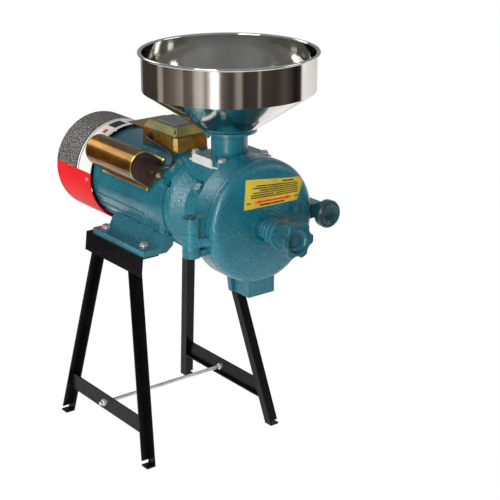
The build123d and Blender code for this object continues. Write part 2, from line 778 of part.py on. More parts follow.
with BuildPart() as cowl_screws:
    screw_y = frame_rear_y + rear_shield_t / 2
    for a in (0, 90, 180, 270):
        out = Vector(math.cos(math.radians(a)), 0, math.sin(math.radians(a)))
        seat = Plane(origin=Vector(0, screw_y, motor_z) + out * cowl_r, x_dir=(0, 1, 0), z_dir=out)
        with BuildSketch(seat):
            Circle(3.4)
        extrude(amount=2)
        with BuildSketch(seat):
            Circle(1.5)
        extrude(amount=-12)
finish(cowl_screws, "cowl_screws")

# ---------------------------------------------------------------- terminal box
box_screws = [(x * (box_half - 7), y) for x in (-1, 1) for y in (box_front_y + 7, box_front_y + box_length - 7)]
with BuildPart() as terminal_box:
    with BuildSketch(Plane.XY.offset(box_z)) as box_plan:
        with Locations((0, box_y)):
            Rectangle(2 * box_half, box_length)
        chamfer(box_plan.vertices(), box_corner / 2)
    extrude(amount=box_height)
    with BuildSketch(Plane.XY.offset(box_z + box_wall)) as box_hole:
        with Locations((0, box_y)):
            Rectangle(2 * (box_half - box_wall), box_length - 2 * box_wall)
        chamfer(box_hole.vertices(), box_corner / 2)
    extrude(amount=box_height, mode=Mode.SUBTRACT)
    for x, y in box_screws:
        bar_z_axis(4, box_z, box_z + box_height, x, y)
        bar_z_axis(1.5 + seat_gap, box_z + 8, box_z + box_height + 1, x, y, mode=Mode.SUBTRACT)
    bar_z_axis(9, box_z - 1, box_z + 5, 0, box_y, mode=Mode.SUBTRACT)
    with BuildSketch(Plane.YZ):
        with Locations((box_y - 20, box_z + 13)):
            Circle(gland_r - 4 + seat_gap)
    extrude(amount=box_half + 1, mode=Mode.SUBTRACT)
    with BuildSketch(Plane.YZ):
        with Locations((box_y + 21, box_z + 15)):
            Circle(cap_lead_r + 1.5 + seat_gap)
    extrude(amount=-box_half - 1, mode=Mode.SUBTRACT)
finish(terminal_box, "terminal_box")

with BuildPart() as box_gasket:
    with BuildSketch(Plane.XY.offset(box_z + box_height)) as seal_plan:
        with Locations((0, box_y)):
            Rectangle(2 * box_half, box_length)
        chamfer(seal_plan.vertices(), box_corner / 2)
        with Locations((0, box_y)):
            Rectangle(2 * box_half - 22, box_length - 22, mode=Mode.SUBTRACT)
        with Locations(*box_screws):
            Circle(1.5 + bolt_gap, mode=Mode.SUBTRACT)
    extrude(amount=gasket_t)
finish(box_gasket, "box_gasket")

lid_rear_y = lid_front_y + lid_length
lid_dome_y = lid_front_y + 1.0 + lid_base_length / 2
with BuildPart() as box_lid:
    with BuildSketch(Plane.XY.offset(lid_z)) as lid_plan:
        with Locations((0, (lid_front_y + lid_rear_y) / 2)):
            Rectangle(2 * lid_half, lid_length)
        fillet(lid_plan.vertices(), 3)
    extrude(amount=lid_t)
    for base_half, base_len, top_half, top_len, low, high, how in (
        (lid_base_half, lid_base_length, lid_top_half, lid_top_length, lid_z + lid_t, lid_top_z, Mode.ADD),
        (lid_base_half - 8, lid_base_length - 16, lid_top_half - 4, lid_top_length - 10, lid_z, lid_top_z - lid_t,
         Mode.SUBTRACT),
    ):
        with BuildSketch(Plane.XY.offset(low)):
            with Locations((0, lid_dome_y)):
                Rectangle(2 * base_half, base_len)
        with BuildSketch(Plane.XY.offset(high)):
            with Locations((0, lid_dome_y)):
                Rectangle(2 * top_half, top_len)
        loft(mode=how)
    for x, y in box_screws:
        bar_z_axis(1.5 + bolt_gap, lid_z - 1, lid_top_z, x, y, mode=Mode.SUBTRACT)
        bar_z_axis(3.6, lid_z + lid_t, lid_top_z, x, y, mode=Mode.SUBTRACT)
finish(box_lid, "box_lid")

with BuildPart() as lid_screws:
    for x, y in box_screws:
        bar_z_axis(3.0, lid_z + lid_t, lid_z + lid_t + 2.2, x, y)
        bar_z_axis(1.5, lid_z + lid_t - 16, lid_z + lid_t, x, y)
finish(lid_screws, "lid_screws")

with BuildPart() as rating_plate:
    with BuildSketch(Plane.XY.offset(lid_top_z)):
        with Locations((0, lid_dome_y)):
            RectangleRounded(2 * plate_half, plate_length, 2)
    extrude(amount=plate_t)
finish(rating_plate, "rating_plate")

with BuildPart() as terminal_block:
    block(-16, 16, box_y + 14, box_y + 40, box_z + box_wall, box_z + box_wall + 12)
    with BuildSketch(Plane.XY.offset(box_z + box_wall + 12)):
        with Locations((0, box_y + 27)):
            with GridLocations(10, 13, 3, 2):
                RegularPolygon(3.4, 6)
    extrude(amount=4)
finish(terminal_block, "terminal_block")

with BuildPart() as cable_gland:
    gland_plane = Plane(origin=(box_half, box_y - 20, box_z + 13), x_dir=(0, 1, 0), z_dir=(1, 0, 0))
    with BuildSketch(gland_plane):
        RegularPolygon(gland_r, 6)
    extrude(amount=gland_length * 0.35)
    with BuildSketch(gland_plane):
        Circle(gland_r * 0.82)
    extrude(amount=gland_length)
    with BuildSketch(gland_plane):
        Circle(gland_r - 4)
    extrude(amount=-6)
    with BuildSketch(gland_plane.offset(-7)):
        Circle(gland_r * 0.4)
    extrude(amount=gland_length + 8, mode=Mode.SUBTRACT)
finish(cable_gland, "cable_gland")

# ---------------------------------------------------------------- capacitor
arch_r = cap_base_r + cover_stand


def cover_outline(radius, low):
    """Arch on two straight sides, from radius low to the top of the arch."""
    with BuildSketch(cap_plane(cover_rear_y)) as arch:
        with Locations((0, arch_r)):
            Circle(radius)
        with Locations((0, (low + arch_r) / 2)):
            Rectangle(2 * radius, arch_r - low)
    return arch.sketch


with BuildPart() as capacitor_cover:
    extrude(cover_outline(cover_r, cap_base_r), amount=cover_length)
    with BuildSketch(cap_plane(cover_rear_y)):
        with Locations((0, cap_base_r + cover_wall / 2)):
            Rectangle(2 * (cover_r + cover_lip), cover_wall)
    extrude(amount=cover_length)
    extrude(cover_outline(cover_r - cover_wall, cap_base_r - 1), amount=cover_length, mode=Mode.SUBTRACT)
finish(capacitor_cover, "capacitor_cover")

with BuildPart() as capacitor_base:
    with BuildSketch(cap_plane(cover_rear_y)):
        with Locations((0, cap_base_r - cap_base_t / 2)):
            Rectangle(2 * (cover_r + cover_lip), cap_base_t)
    extrude(amount=cover_length)
    with BuildSketch(cap_plane(cover_rear_y + cap_tab)):
        with Locations((0, cap_base_r - cap_base_t / 2)):
            Rectangle(2 * cap_tab_half, cap_base_t)
    extrude(amount=cover_length + 2 * cap_tab)
    for y in (cover_front_y - cap_tab / 2, cover_rear_y + cap_tab / 2):
        with BuildSketch(Plane(origin=Vector(0, y, motor_z) + cap_dir * (cap_base_r + 1),
                               x_dir=(0, 1, 0), z_dir=(cap_dir * -1))):
            Circle(cap_screw_r + bolt_gap)
        extrude(amount=5, mode=Mode.SUBTRACT)
finish(capacitor_base, "capacitor_base")

with BuildPart() as capacitor_screws:
    for y in (cover_front_y - cap_tab / 2, cover_rear_y + cap_tab / 2):
        seat = Plane(origin=Vector(0, y, motor_z) + cap_dir * cap_base_r, x_dir=(0, 1, 0), z_dir=cap_dir)
        with BuildSketch(seat):
            Circle(cap_screw_r * 2)
        extrude(amount=2.4)
        with BuildSketch(seat):
            Circle(cap_screw_r)
        extrude(amount=-7)
finish(capacitor_screws, "capacitor_screws")

end_cap_t = 4.0
lead_side = 13.0       # lead's end, round the motor from the capacitor's middle
lead_low = 9.0         # lead's end, above the cover's base
with BuildPart() as capacitor_end_cap:
    inside = cover_r - cover_wall - seat_gap
    with BuildSketch(cap_plane(cover_front_y + 2)):
        with Locations((0, arch_r)):
            Circle(inside)
        with Locations((0, (cap_base_r + seat_gap + arch_r) / 2)):
            Rectangle(2 * inside, arch_r - cap_base_r - seat_gap)
    extrude(amount=-end_cap_t)
    with BuildSketch(cap_plane(cover_front_y + 2)):
        with Locations((lead_side, cap_base_r + lead_low)):
            Circle(cap_lead_r + 2)
    extrude(amount=4)
finish(capacitor_end_cap, "capacitor_end_cap")

with BuildPart() as capacitor:
    with BuildSketch(cap_plane(cover_front_y + 2 + end_cap_t + seat_gap + cap_length)):
        with Locations((0, arch_r)):
            Circle(cap_r)
    extrude(amount=cap_length)
    fillet(capacitor.edges().filter_by(GeomType.CIRCLE), 1.5)
    with BuildSketch(cap_plane(cover_front_y + 2 + end_cap_t + seat_gap + cap_length + 8)):
        with Locations((0, arch_r)):
            Circle(6)
    extrude(amount=9)
finish(capacitor, "capacitor")

grommet_plane = Plane(origin=(-box_half, box_y + 21, box_z + 15), x_dir=(0, 1, 0), z_dir=(-1, 0, 0))
with BuildPart() as lead_grommet:
    with BuildSketch(grommet_plane):
        Circle(cap_lead_r + 3)
    extrude(amount=3)
    with BuildSketch(grommet_plane):
        Circle(cap_lead_r + 1.5)
    extrude(amount=-box_wall - 1.5)
finish(lead_grommet, "lead_grommet")



def beside_shield(angle, rise, y):
    """Point outside the end shield's rim, at an angle to the left of its top."""
    r = shield_r + rise
    return Vector(-r * math.sin(math.radians(angle)), y, motor_z + r * math.cos(math.radians(angle)))


lead_start = Vector(-box_half - 3, box_y + 21, box_z + 15)
lead_end = Vector(0, cover_front_y - 2, motor_z) + cap_dir * (cap_base_r + lead_low) + cap_up * lead_side
lead_points = [
    lead_start,
    lead_start + Vector(-6, 0, 0),
    lead_start + Vector(-10, -6, -0.5),
    lead_start + Vector(-10.5, -20, -2.5),
    lead_start + Vector(-8.5, -45, -7),
    lead_start + Vector(-5.5, -69, -13),
    beside_shield(32.33, 7.5, frame_front_y - 6),
    beside_shield(40.87, 7.2, frame_front_y - 11),
    lead_end + Vector(0, -14, 0),
    lead_end,
]


def lead_radii(points):
    """Bend radii that fill the runs of a route, one for each inner point."""
    radii = []
    for a, b, c in zip(points, points[1:], points[2:]):
        turn = math.radians((b - a).get_angle(c - b))
        radii.append(0.45 * min((b - a).length, (c - b).length) / math.tan(turn / 2))
    return radii


with BuildPart() as capacitor_lead:
    with BuildLine() as lead_route:
        FilletPolyline(*lead_points, radius=lead_radii(lead_points))
    with BuildSketch(Plane(origin=lead_route.wire() @ 0, z_dir=lead_route.wire() % 0)):
        Circle(cap_lead_r)
    sweep(path=lead_route.wire())
print("lead radii", [round(r, 1) for r in lead_radii(lead_points)],
      "volume", round(capacitor_lead.part.volume / (math.pi * cap_lead_r**2 * lead_route.wire().length), 4))
finish(capacitor_lead, "capacitor_lead")

# ---------------------------------------------------------------- mill body
clamp_stud_hole = clamp_stud_r + clamp_swing_gap
skirt_top = housing_z - housing_r + 12
plug_y = shield_front_y - plug_from_rear
plug_out = Vector(-math.sqrt(0.5), 0, math.sqrt(0.5))


def clamp_lug(rear, front):
    """Lug that the clamp's stud goes through, higher above the stud than below it."""
    for rise in (0, clamp_lug_rise):
        bar_y(clamp_lug_r, rear, front, clamp_x, clamp_z + rise)
    block(housing_bore - 2, clamp_x, front, rear, clamp_z - 9, clamp_z + clamp_lug_rise + clamp_lug_r)


with BuildPart() as mill_body:
    turned([(shield_front_y, 0), (shield_front_y, neck_r), (housing_rear_y - 1, neck_r), (housing_rear_y - 1, 0)])
    turned([(housing_rear_y, 0), (housing_rear_y, housing_r - 4), (housing_rear_y - 4, housing_r),
            (seam_y, housing_r), (seam_y, 0)], axis=housing_axis)
    # pad for the gate and the feed neck, and the saddle behind it
    block(pad_shift - pad_half, pad_shift + pad_half, pad_front_y, pad_rear_y, pad_z - pad_t, pad_z)
    block(pad_shift - pad_half + 4, pad_shift + pad_half - 6, housing_rear_y - 3, feed_y + 10,
          motor_z + 20, pad_z - pad_t + 1)
    block(pad_shift - saddle_half, pad_shift + saddle_half, pad_y - 4, shield_front_y,
          motor_z + saddle_rise - 30, motor_z + saddle_rise)
    # hinge knuckles
    for i in (0, 2):
        bar_z_axis(hinge_r, knuckle_z[i] + (run_gap if i else 0), knuckle_z[i] + knuckle_h[i] - (0 if i else run_gap),
                   -hinge_x, hinge_y)
        block(-hinge_x, -housing_bore, seam_y + run_gap, hinge_y + 8,
              knuckle_z[i] + (run_gap if i else 0), knuckle_z[i] + knuckle_h[i] - (0 if i else run_gap))
    # clamp lug
    clamp_lug(seam_y + clamp_reach + 6, seam_y)
    # skirt behind the outlet
    outline_y([(-outlet_skirt_half, outlet_z), (outlet_skirt_half, outlet_z),
               (outlet_skirt_half + outlet_skirt_flare, skirt_top), (-outlet_skirt_half - outlet_skirt_flare, skirt_top)],
              housing_rear_y, housing_rear_y - housing_back)
    # boss for the oil plug
    with BuildSketch(Plane(origin=Vector(0, plug_y, motor_z) + plug_out * (neck_r - 6), x_dir=(0, 1, 0),
                           z_dir=plug_out)):
        Circle(plug_r + 2)
    extrude(amount=8)
    # inside: shaft passage, feed chamber, grinding chamber
    turned([(shield_front_y + 1, 0), (shield_front_y + 1, seal_r + seat_gap), (shield_front_y - seal_t - 1, seal_r + seat_gap),
            (shield_front_y - seal_t - 1, mill_shaft_r + 1), (chamber_y, mill_shaft_r + 1), (chamber_y, chamber_r),
            (housing_rear_y - housing_back - 1, chamber_r), (housing_rear_y - housing_back - 1, 0)],
           mode=Mode.SUBTRACT)
    turned([(housing_rear_y - housing_back, 0), (housing_rear_y - housing_back, housing_bore),
            (seam_y - 1, housing_bore), (seam_y - 1, 0)], axis=housing_axis, mode=Mode.SUBTRACT)
    bar_z_axis(feed_bore_r, motor_z, pad_z + 1, 0, feed_y, mode=Mode.SUBTRACT)
    # outlet through the bottom of the housing
    block(-outlet_half - outlet_swing_gap, outlet_half + outlet_swing_gap, seam_y - 1, housing_rear_y - housing_back,
          outlet_z - 1, housing_z - housing_bore + 12, mode=Mode.SUBTRACT)
    # holes
    bar_z_axis(hinge_pin_r + seat_gap, hinge_z - 1, hinge_z + 80, -hinge_x, hinge_y, mode=Mode.SUBTRACT)
    bar_y(clamp_stud_hole, seam_y + clamp_reach + 3, seam_y - 1, clamp_x, clamp_z, mode=Mode.SUBTRACT)
    bars_y(body_bolt_r + seat_gap, shield_front_y + 1, shield_front_y - 15, body_bolt_circle, start=45,
           mode=Mode.SUBTRACT)
    neck_bolt_places = [(pad_shift + sx * neck_bolt_x, pad_y + sy * neck_bolt_y) for sx in (-1, 1) for sy in (-1, 1)]
    for x, y in neck_bolt_places:
        bar_z_axis(neck_bolt_r + seat_gap, pad_z - 10.5, pad_z + 1, x, y, mode=Mode.SUBTRACT)
    with BuildSketch(Plane(origin=Vector(0, plug_y, motor_z) + plug_out * (neck_r + 3), x_dir=(0, 1, 0),
                           z_dir=(plug_out * -1))):
        Circle(plug_r * 0.6 + seat_gap)
    extrude(amount=11, mode=Mode.SUBTRACT)
finish(mill_body, "mill_body")

with BuildPart() as body_bolts:
    bars_y(body_bolt_r, shield_wall_y, shield_front_y - 13, body_bolt_circle, start=45)
    with BuildSketch(facing(shield_wall_y + 5)):
        with PolarLocations(body_bolt_circle, 4, start_angle=45):
            RegularPolygon(body_bolt_r * 1.25, 6)
    extrude(amount=5)
finish(body_bolts, "body_bolts")

with BuildPart() as shaft_seal:
    turned([(shield_front_y, mill_shaft_r + shaft_gap), (shield_front_y, seal_r), (shield_front_y - seal_t, seal_r),
            (shield_front_y - seal_t, mill_shaft_r + shaft_gap)])
finish(shaft_seal, "shaft_seal")

plug_seat = Plane(origin=Vector(0, plug_y, motor_z) + plug_out * (neck_r + 2), x_dir=(0, 1, 0), z_dir=plug_out)
with BuildPart() as oil_plug:
    with BuildSketch(plug_seat):
        Circle(plug_r)
    extrude(amount=plug_t)
    with BuildSketch(plug_seat):
        Circle(plug_r * 0.6)
    extrude(amount=-9)
    with BuildSketch(plug_seat.offset(plug_t)):
        Rectangle(2 * plug_r + 2, 1.6)
    extrude(amount=-1.5, mode=Mode.SUBTRACT)
finish(oil_plug, "oil_plug")

# ---------------------------------------------------------------- feed neck, gate and hopper
with BuildPart() as gate_guides:
    for y0, y1 in ((gate_y + gate_half + slide_gap, pad_rear_y), (pad_front_y, gate_y - gate_half - slide_gap)):
        block(pad_shift - pad_half, pad_shift + pad_half, y0, y1, pad_z, pad_z + rail_t)
    for x, y in neck_bolt_places:
        bar_z_axis(neck_bolt_r + bolt_gap, pad_z - 1, pad_z + rail_t + 1, x, y, mode=Mode.SUBTRACT)
finish(gate_guides, "gate_guides")

with BuildPart() as gate_plate:
    with BuildSketch(Plane.XY.offset(gate_z)):
        with Locations(((gate_right - gate_left) / 2, gate_y)):
            Rectangle(gate_left + gate_right, 2 * gate_half)
    extrude(amount=gate_t)
    # hole that lines up with the feed when the gate is pulled out
    bar_z_axis(gate_hole_r, gate_z - 1, gate_z + gate_t + 1, gate_travel, feed_y, mode=Mode.SUBTRACT)
    block(-gate_left, -gate_left + gate_t, gate_y - gate_half, gate_y + gate_half, gate_z, gate_z + gate_tab)
    tab_corners = gate_plate.edges().filter_by(Axis.X).group_by(Axis.Z)[-1]
    fillet(tab_corners, 6)
finish(gate_plate, "gate_plate")

with BuildPart() as feed_neck:
    block(pad_shift - pad_half, pad_shift + pad_half, pad_front_y, pad_rear_y, flange_z, flange_z + flange_t)
    fillet(feed_neck.edges().filter_by(Axis.Z), 8)
    bar_z_axis(feed_neck_r, flange_z, ring_z, 0, feed_y)
    bar_z_axis(feed_ring_r, ring_z - feed_ring_t, ring_z, 0, feed_y)
    bar_z_axis(feed_neck_bore, flange_z + flange_t, ring_z + 1, 0, feed_y, mode=Mode.SUBTRACT)
    bar_z_axis(feed_bore_r, flange_z - 1, ring_z, 0, feed_y, mode=Mode.SUBTRACT)
    for x, y in neck_bolt_places:
        bar_z_axis(neck_bolt_r + bolt_gap, flange_z - 1, flange_z + flange_t + 1, x, y, mode=Mode.SUBTRACT)
finish(feed_neck, "feed_neck")

with BuildPart() as neck_bolts:
    bolts_down(neck_bolt_places, flange_z + flange_t, neck_bolt_r, flange_t + rail_t + 9, 5)
finish(neck_bolts, "neck_bolts")

hopper_z = ring_z + run_gap                      # underside of the hopper's floor
rim_z = hopper_z + hopper_height - hopper_bead
cone_z = hopper_z + hopper_cone
spigot_r = feed_neck_bore - 0.4
with BuildPart() as hopper:
    w = hopper_wall
    with BuildSketch(Plane.XZ.offset(-feed_y)):
        with BuildLine():
            Polyline(
                (spigot_r, hopper_z - spigot_depth), (spigot_r, hopper_z), (hopper_seat_r, hopper_z),
                (hopper_r, cone_z), (hopper_r, rim_z), (hopper_r - w, rim_z), (hopper_r - w, cone_z + 0.4),
                (hopper_seat_r - 0.5, hopper_z + w), (spigot_r - w, hopper_z + w),
                (spigot_r - w, hopper_z - spigot_depth), close=True,
            )
        make_face()
    revolve(axis=Axis((0, feed_y, 0), (0, 0, 1)))
    # rolled lip
    with BuildSketch(Plane.XZ.offset(-feed_y)):
        with Locations((hopper_rim_r - hopper_bead, rim_z)):
            Circle(hopper_bead)
        with Locations(((hopper_r - w + hopper_rim_r - hopper_bead) / 2, rim_z - w / 2)):
            Rectangle(hopper_rim_r - hopper_bead - hopper_r + w, w)
    revolve(axis=Axis((0, feed_y, 0), (0, 0, 1)))
finish(hopper, "hopper")

# ---------------------------------------------------------------- door
door_in_y = door_front_y + door_wall


def dome(outer, front, crown, corner):
    """Half outline of the door: flat middle, shallow dome and a rounded corner."""
    turn = 2 * math.atan(door_crown_rise / (outer - corner - crown))
    rim_y = front + door_crown_rise + corner * math.cos(turn)
    rim_z = housing_z + outer - corner
    half = (math.pi / 2 + turn) / 2
    end = (front + door_crown_rise, rim_z + corner * math.sin(turn))
    with BuildSketch(Plane.YZ) as section:
        with BuildLine():
            Polyline((front, housing_z + crown), (front, housing_z), (door_rear_y, housing_z),
                     (door_rear_y, housing_z + outer), (rim_y, housing_z + outer))
            ThreePointArc((rim_y, housing_z + outer),
                          (rim_y - corner * math.cos(half), rim_z + corner * math.sin(half)), end)
            TangentArc((front, housing_z + crown), end, tangent=(0, 1))
        make_face()
    return section.sketch


door_r = housing_r - 0.5
arm_z = knuckle_z[1] + knuckle_mid / 2
with BuildPart() as hinge_horn:
    # tapered horn from the knuckle to the door's face
    root = Vector(-hinge_x, hinge_y, arm_z)
    run = Vector(-horn_tip_x, door_front_y + 3, arm_z) - root
    with Locations(Plane(origin=root, z_dir=run.normalized())):
        Cone(horn_r, 2, run.length, align=(Align.CENTER, Align.CENTER, Align.MIN))
    block(-hinge_x - 30, 0, door_rear_y, hinge_y + 40, arm_z - 30, arm_z + 30, mode=Mode.SUBTRACT)

with BuildPart() as mill_door:
    revolve(dome(door_r, door_front_y, door_crown_r, door_round), axis=housing_axis)
    # chute in front of the outlet
    block(-outlet_half, outlet_half, seam_y - outlet_front, housing_rear_y - housing_back - 0.5,
          outlet_z, housing_z - housing_bore - 2)
    # hinge knuckle and its arm
    bar_z_axis(hinge_r, knuckle_z[1] + run_gap, knuckle_z[1] + knuckle_mid - run_gap, -hinge_x, hinge_y)
    with BuildSketch(Plane.XY.offset(arm_z - arm_web / 2)):
        with BuildLine():
            Polyline((-hinge_x - hinge_r * 0.8, hinge_y - hinge_r * 0.6), (-hinge_x, hinge_y),
                     (-hinge_x + hinge_r * 0.6, door_rear_y), (-housing_bore + 4, door_rear_y),
                     (-housing_bore + 14, door_rear_y - 14), (-hinge_x + 4, hinge_y - hinge_r - 1), close=True)
        make_face()
    extrude(amount=arm_web)
    add(hinge_horn.part)
    # clamp lug
    clamp_lug(door_rear_y, door_rear_y - clamp_lug_t)
    # grinding chamber inside
    revolve(dome(housing_bore, door_in_y, door_crown_r + 10, door_round - 4), axis=housing_axis,
            mode=Mode.SUBTRACT)
    # boss for the adjusting knob
    bar_y(boss_flange_r, door_front_y + 1, boss_base_y)
    bar_y(boss_r, boss_base_y + 1, boss_end_y)
    # small lugs beside the boss
    lock_x = boss_flange_r * 0.9 * math.cos(math.radians(lock_angle))
    lock_z = motor_z + boss_flange_r * 0.9 * math.sin(math.radians(lock_angle))
    bar_y(lock_r + 1.5, door_front_y + 2, boss_base_y - lock_length / 2, lock_x, lock_z)
    with BuildSketch(facing(door_front_y + 6, door_lug_x, motor_z + door_lug_rise)) as door_lug:
        RectangleRounded(9.5, 16, 3)
    extrude(door_lug.sketch, amount=12)
    bar_y(lock_r * 0.6 + seat_gap, door_front_y, boss_base_y - lock_length, lock_x, lock_z, mode=Mode.SUBTRACT)
    # bore for the stem
    bar_y(stem_r + shaft_gap, door_in_y + 1, boss_end_y - 1, mode=Mode.SUBTRACT)
    # chute passage
    block(-outlet_half + outlet_wall, outlet_half - outlet_wall, seam_y - outlet_front + outlet_wall,
          housing_rear_y, outlet_z - 1, housing_z - housing_bore + 10, mode=Mode.SUBTRACT)
    # groove for the seal
    turned([(door_rear_y + 1, housing_bore + 3), (door_rear_y + 1, housing_bore + 3 + seal_width),
            (door_rear_y - 2, housing_bore + 3 + seal_width), (door_rear_y - 2, housing_bore + 3)],
           axis=housing_axis, mode=Mode.SUBTRACT)
    # holes
    bar_z_axis(hinge_pin_r + seat_gap, hinge_z, hinge_z + 80, -hinge_x, hinge_y, mode=Mode.SUBTRACT)
    bar_y(clamp_stud_r + bolt_gap, door_rear_y + 1, door_rear_y - clamp_lug_t - 1, clamp_x, clamp_z,
          mode=Mode.SUBTRACT)
finish(mill_door, "mill_door")

with BuildPart() as door_seal:
    inner, outer = housing_bore + 3 + seat_gap, housing_bore + 3 + seal_width - seat_gap
    turned([(door_rear_y + 0.1, inner), (door_rear_y - 1.9, inner), (door_rear_y - 1.9, outer),
            (door_rear_y + 0.1, outer)], axis=housing_axis)
    block(-outlet_half + outlet_wall - seat_gap, outlet_half - outlet_wall + seat_gap, door_rear_y - 5, door_rear_y + 5,
          outlet_z, motor_z - 50, mode=Mode.SUBTRACT)
finish(door_seal, "door_seal")

with BuildPart() as lock_screw:
    bar_y(lock_r * 0.6, door_front_y - 0.5, boss_base_y - lock_length / 2, lock_x, lock_z)
    bar_y(lock_r, boss_base_y - lock_length / 2, boss_base_y - lock_length, lock_x, lock_z)
    block(lock_x - lock_r, lock_x + lock_r, boss_base_y - lock_length, boss_base_y - lock_length + 1.5,
          lock_z - 0.7, lock_z + 0.7, mode=Mode.SUBTRACT)
finish(lock_screw, "lock_screw")

with BuildPart() as door_label:
    for lift, mode in ((0.35, Mode.ADD), (0.1, Mode.SUBTRACT)):
        revolve(dome(door_r + lift, door_front_y - lift, door_crown_r, door_round + lift), axis=housing_axis,
                mode=mode)
    outline_y([(x, motor_z + z) for x, z in ((-46, 38), (-40, 88), (74, 74), (80, 67), (66, 36))],
              door_rear_y, door_front_y - 2, mode=Mode.INTERSECT)
finish(door_label, "door_label")

with BuildPart() as hinge_pin:
    pin_top = knuckle_z[2] + knuckle_top
    bar_z_axis(hinge_pin_r, hinge_z - 2, pin_top, -hinge_x, hinge_y)
    bar_z_axis(hinge_pin_r + 3.5, pin_top, pin_top + 2.5, -hinge_x, hinge_y)
finish(hinge_pin, "hinge_pin")

# ---------------------------------------------------------------- burrs, auger and adjustment
burr_screw_ring = (burr_r - burr_screw_inset, 3, 90)    # circle, count and first angle
with BuildPart() as fixed_burr:
    turned([(fixed_burr_y, burr_bore_r), (fixed_burr_y, burr_r), (carrier_y, burr_r), (carrier_y, burr_bore_r)])
    with BuildSketch(facing(fixed_burr_y)):
        with PolarLocations(burr_r - 13, burr_grooves, start_angle=5):
            Rectangle(34, 2.4, rotation=16)
    extrude(amount=2, mode=Mode.SUBTRACT)
    bars_y(2.5 + seat_gap, carrier_y + 6, carrier_y - 1, *burr_screw_ring, mode=Mode.SUBTRACT)
finish(fixed_burr, "fixed_burr")

knob_seat_y = boss_end_y - 3.0                  # end of the stem's shoulder
stem_tip_y = knob_front_y + knob_dish + 3.0
with BuildPart() as burr_carrier:
    turned([(carrier_y, 0), (carrier_y, burr_r), (carrier_front_y, burr_r), (carrier_front_y, stem_r),
            (knob_seat_y, stem_r), (knob_seat_y, stem_r - 4), (stem_tip_y, stem_r - 4),
            (stem_tip_y, 0)])
    bar_y(burr_bore_r - 4, carrier_y, carrier_y - 2.5, mode=Mode.SUBTRACT)
    bars_y(2.5 + bolt_gap, carrier_y + 1, carrier_front_y - 1, *burr_screw_ring, mode=Mode.SUBTRACT)
finish(burr_carrier, "burr_carrier")

with BuildPart() as burr_screws:
    bars_y(2.5, carrier_y + 5, carrier_front_y, *burr_screw_ring)
    bars_y(4.5, carrier_front_y, carrier_front_y - 2, *burr_screw_ring)
finish(burr_screws, "burr_screws")

with BuildPart() as rotating_burr:
    rear = burr_front_y + burr_t
    turned([(rear, 0), (rear, burr_r), (burr_front_y, burr_r), (burr_front_y, burr_bore_r), (hub_front_y, burr_bore_r),
            (hub_front_y, 0)])
    with BuildSketch(facing(burr_front_y + 2)):
        with PolarLocations(burr_r - 13, burr_grooves):
            Rectangle(34, 2.4, rotation=-16)
    extrude(amount=3, mode=Mode.SUBTRACT)
    # windows that let the grain through to the grinding faces
    with BuildSketch(facing(rear + 1)):
        Circle(burr_bore_r + 9)
        Circle(auger_hub_r + 1, mode=Mode.SUBTRACT)
        with PolarLocations(burr_bore_r, 3, start_angle=30):
            Rectangle(30, 12, mode=Mode.SUBTRACT)
    extrude(amount=burr_t + 2, mode=Mode.SUBTRACT)
    bar_y(mill_shaft_r + shaft_gap, rear + 1, hub_front_y - 1, mode=Mode.SUBTRACT)
finish(rotating_burr, "rotating_burr")

with BuildPart() as feed_auger:
    length = auger_rear_y - auger_front_y
    turned([(auger_rear_y, 0), (auger_rear_y, auger_hub_r), (auger_front_y, auger_hub_r), (auger_front_y, 0)])
    with BuildLine():
        Helix(pitch=(length - auger_flight - 2) / 1.25, height=length - auger_flight - 2, radius=(auger_r + auger_hub_r) / 2,
              center=(0, auger_rear_y - auger_flight / 2 - 1, motor_z), direction=(0, -1, 0))
    with BuildSketch(Plane(origin=feed_auger.pending_edges[0] @ 0, z_dir=feed_auger.pending_edges[0] % 0,
                           x_dir=(feed_auger.pending_edges[0] @ 0) - Vector(0, auger_rear_y - auger_flight / 2 - 1, motor_z))):
        Rectangle(auger_r - auger_hub_r + 2, auger_flight)
    sweep(is_frenet=True)
    bar_y(mill_shaft_r + shaft_gap, auger_rear_y + 5, auger_front_y - 5, mode=Mode.SUBTRACT)
finish(feed_auger, "feed_auger")

with BuildPart() as burr_nut:
    with BuildSketch(facing(hub_front_y)):
        RegularPolygon(burr_nut_r, 6)
        Circle(shaft_thread_r + seat_gap, mode=Mode.SUBTRACT)
    extrude(amount=burr_nut_t)
finish(burr_nut, "burr_nut")

washer_t = 1.5
with BuildPart() as thrust_washer:
    with BuildSketch(facing(knob_seat_y)):
        Circle(stem_r)
        Circle(stem_r - 4 + 0.3, mode=Mode.SUBTRACT)
    extrude(amount=washer_t)
finish(thrust_washer, "thrust_washer")

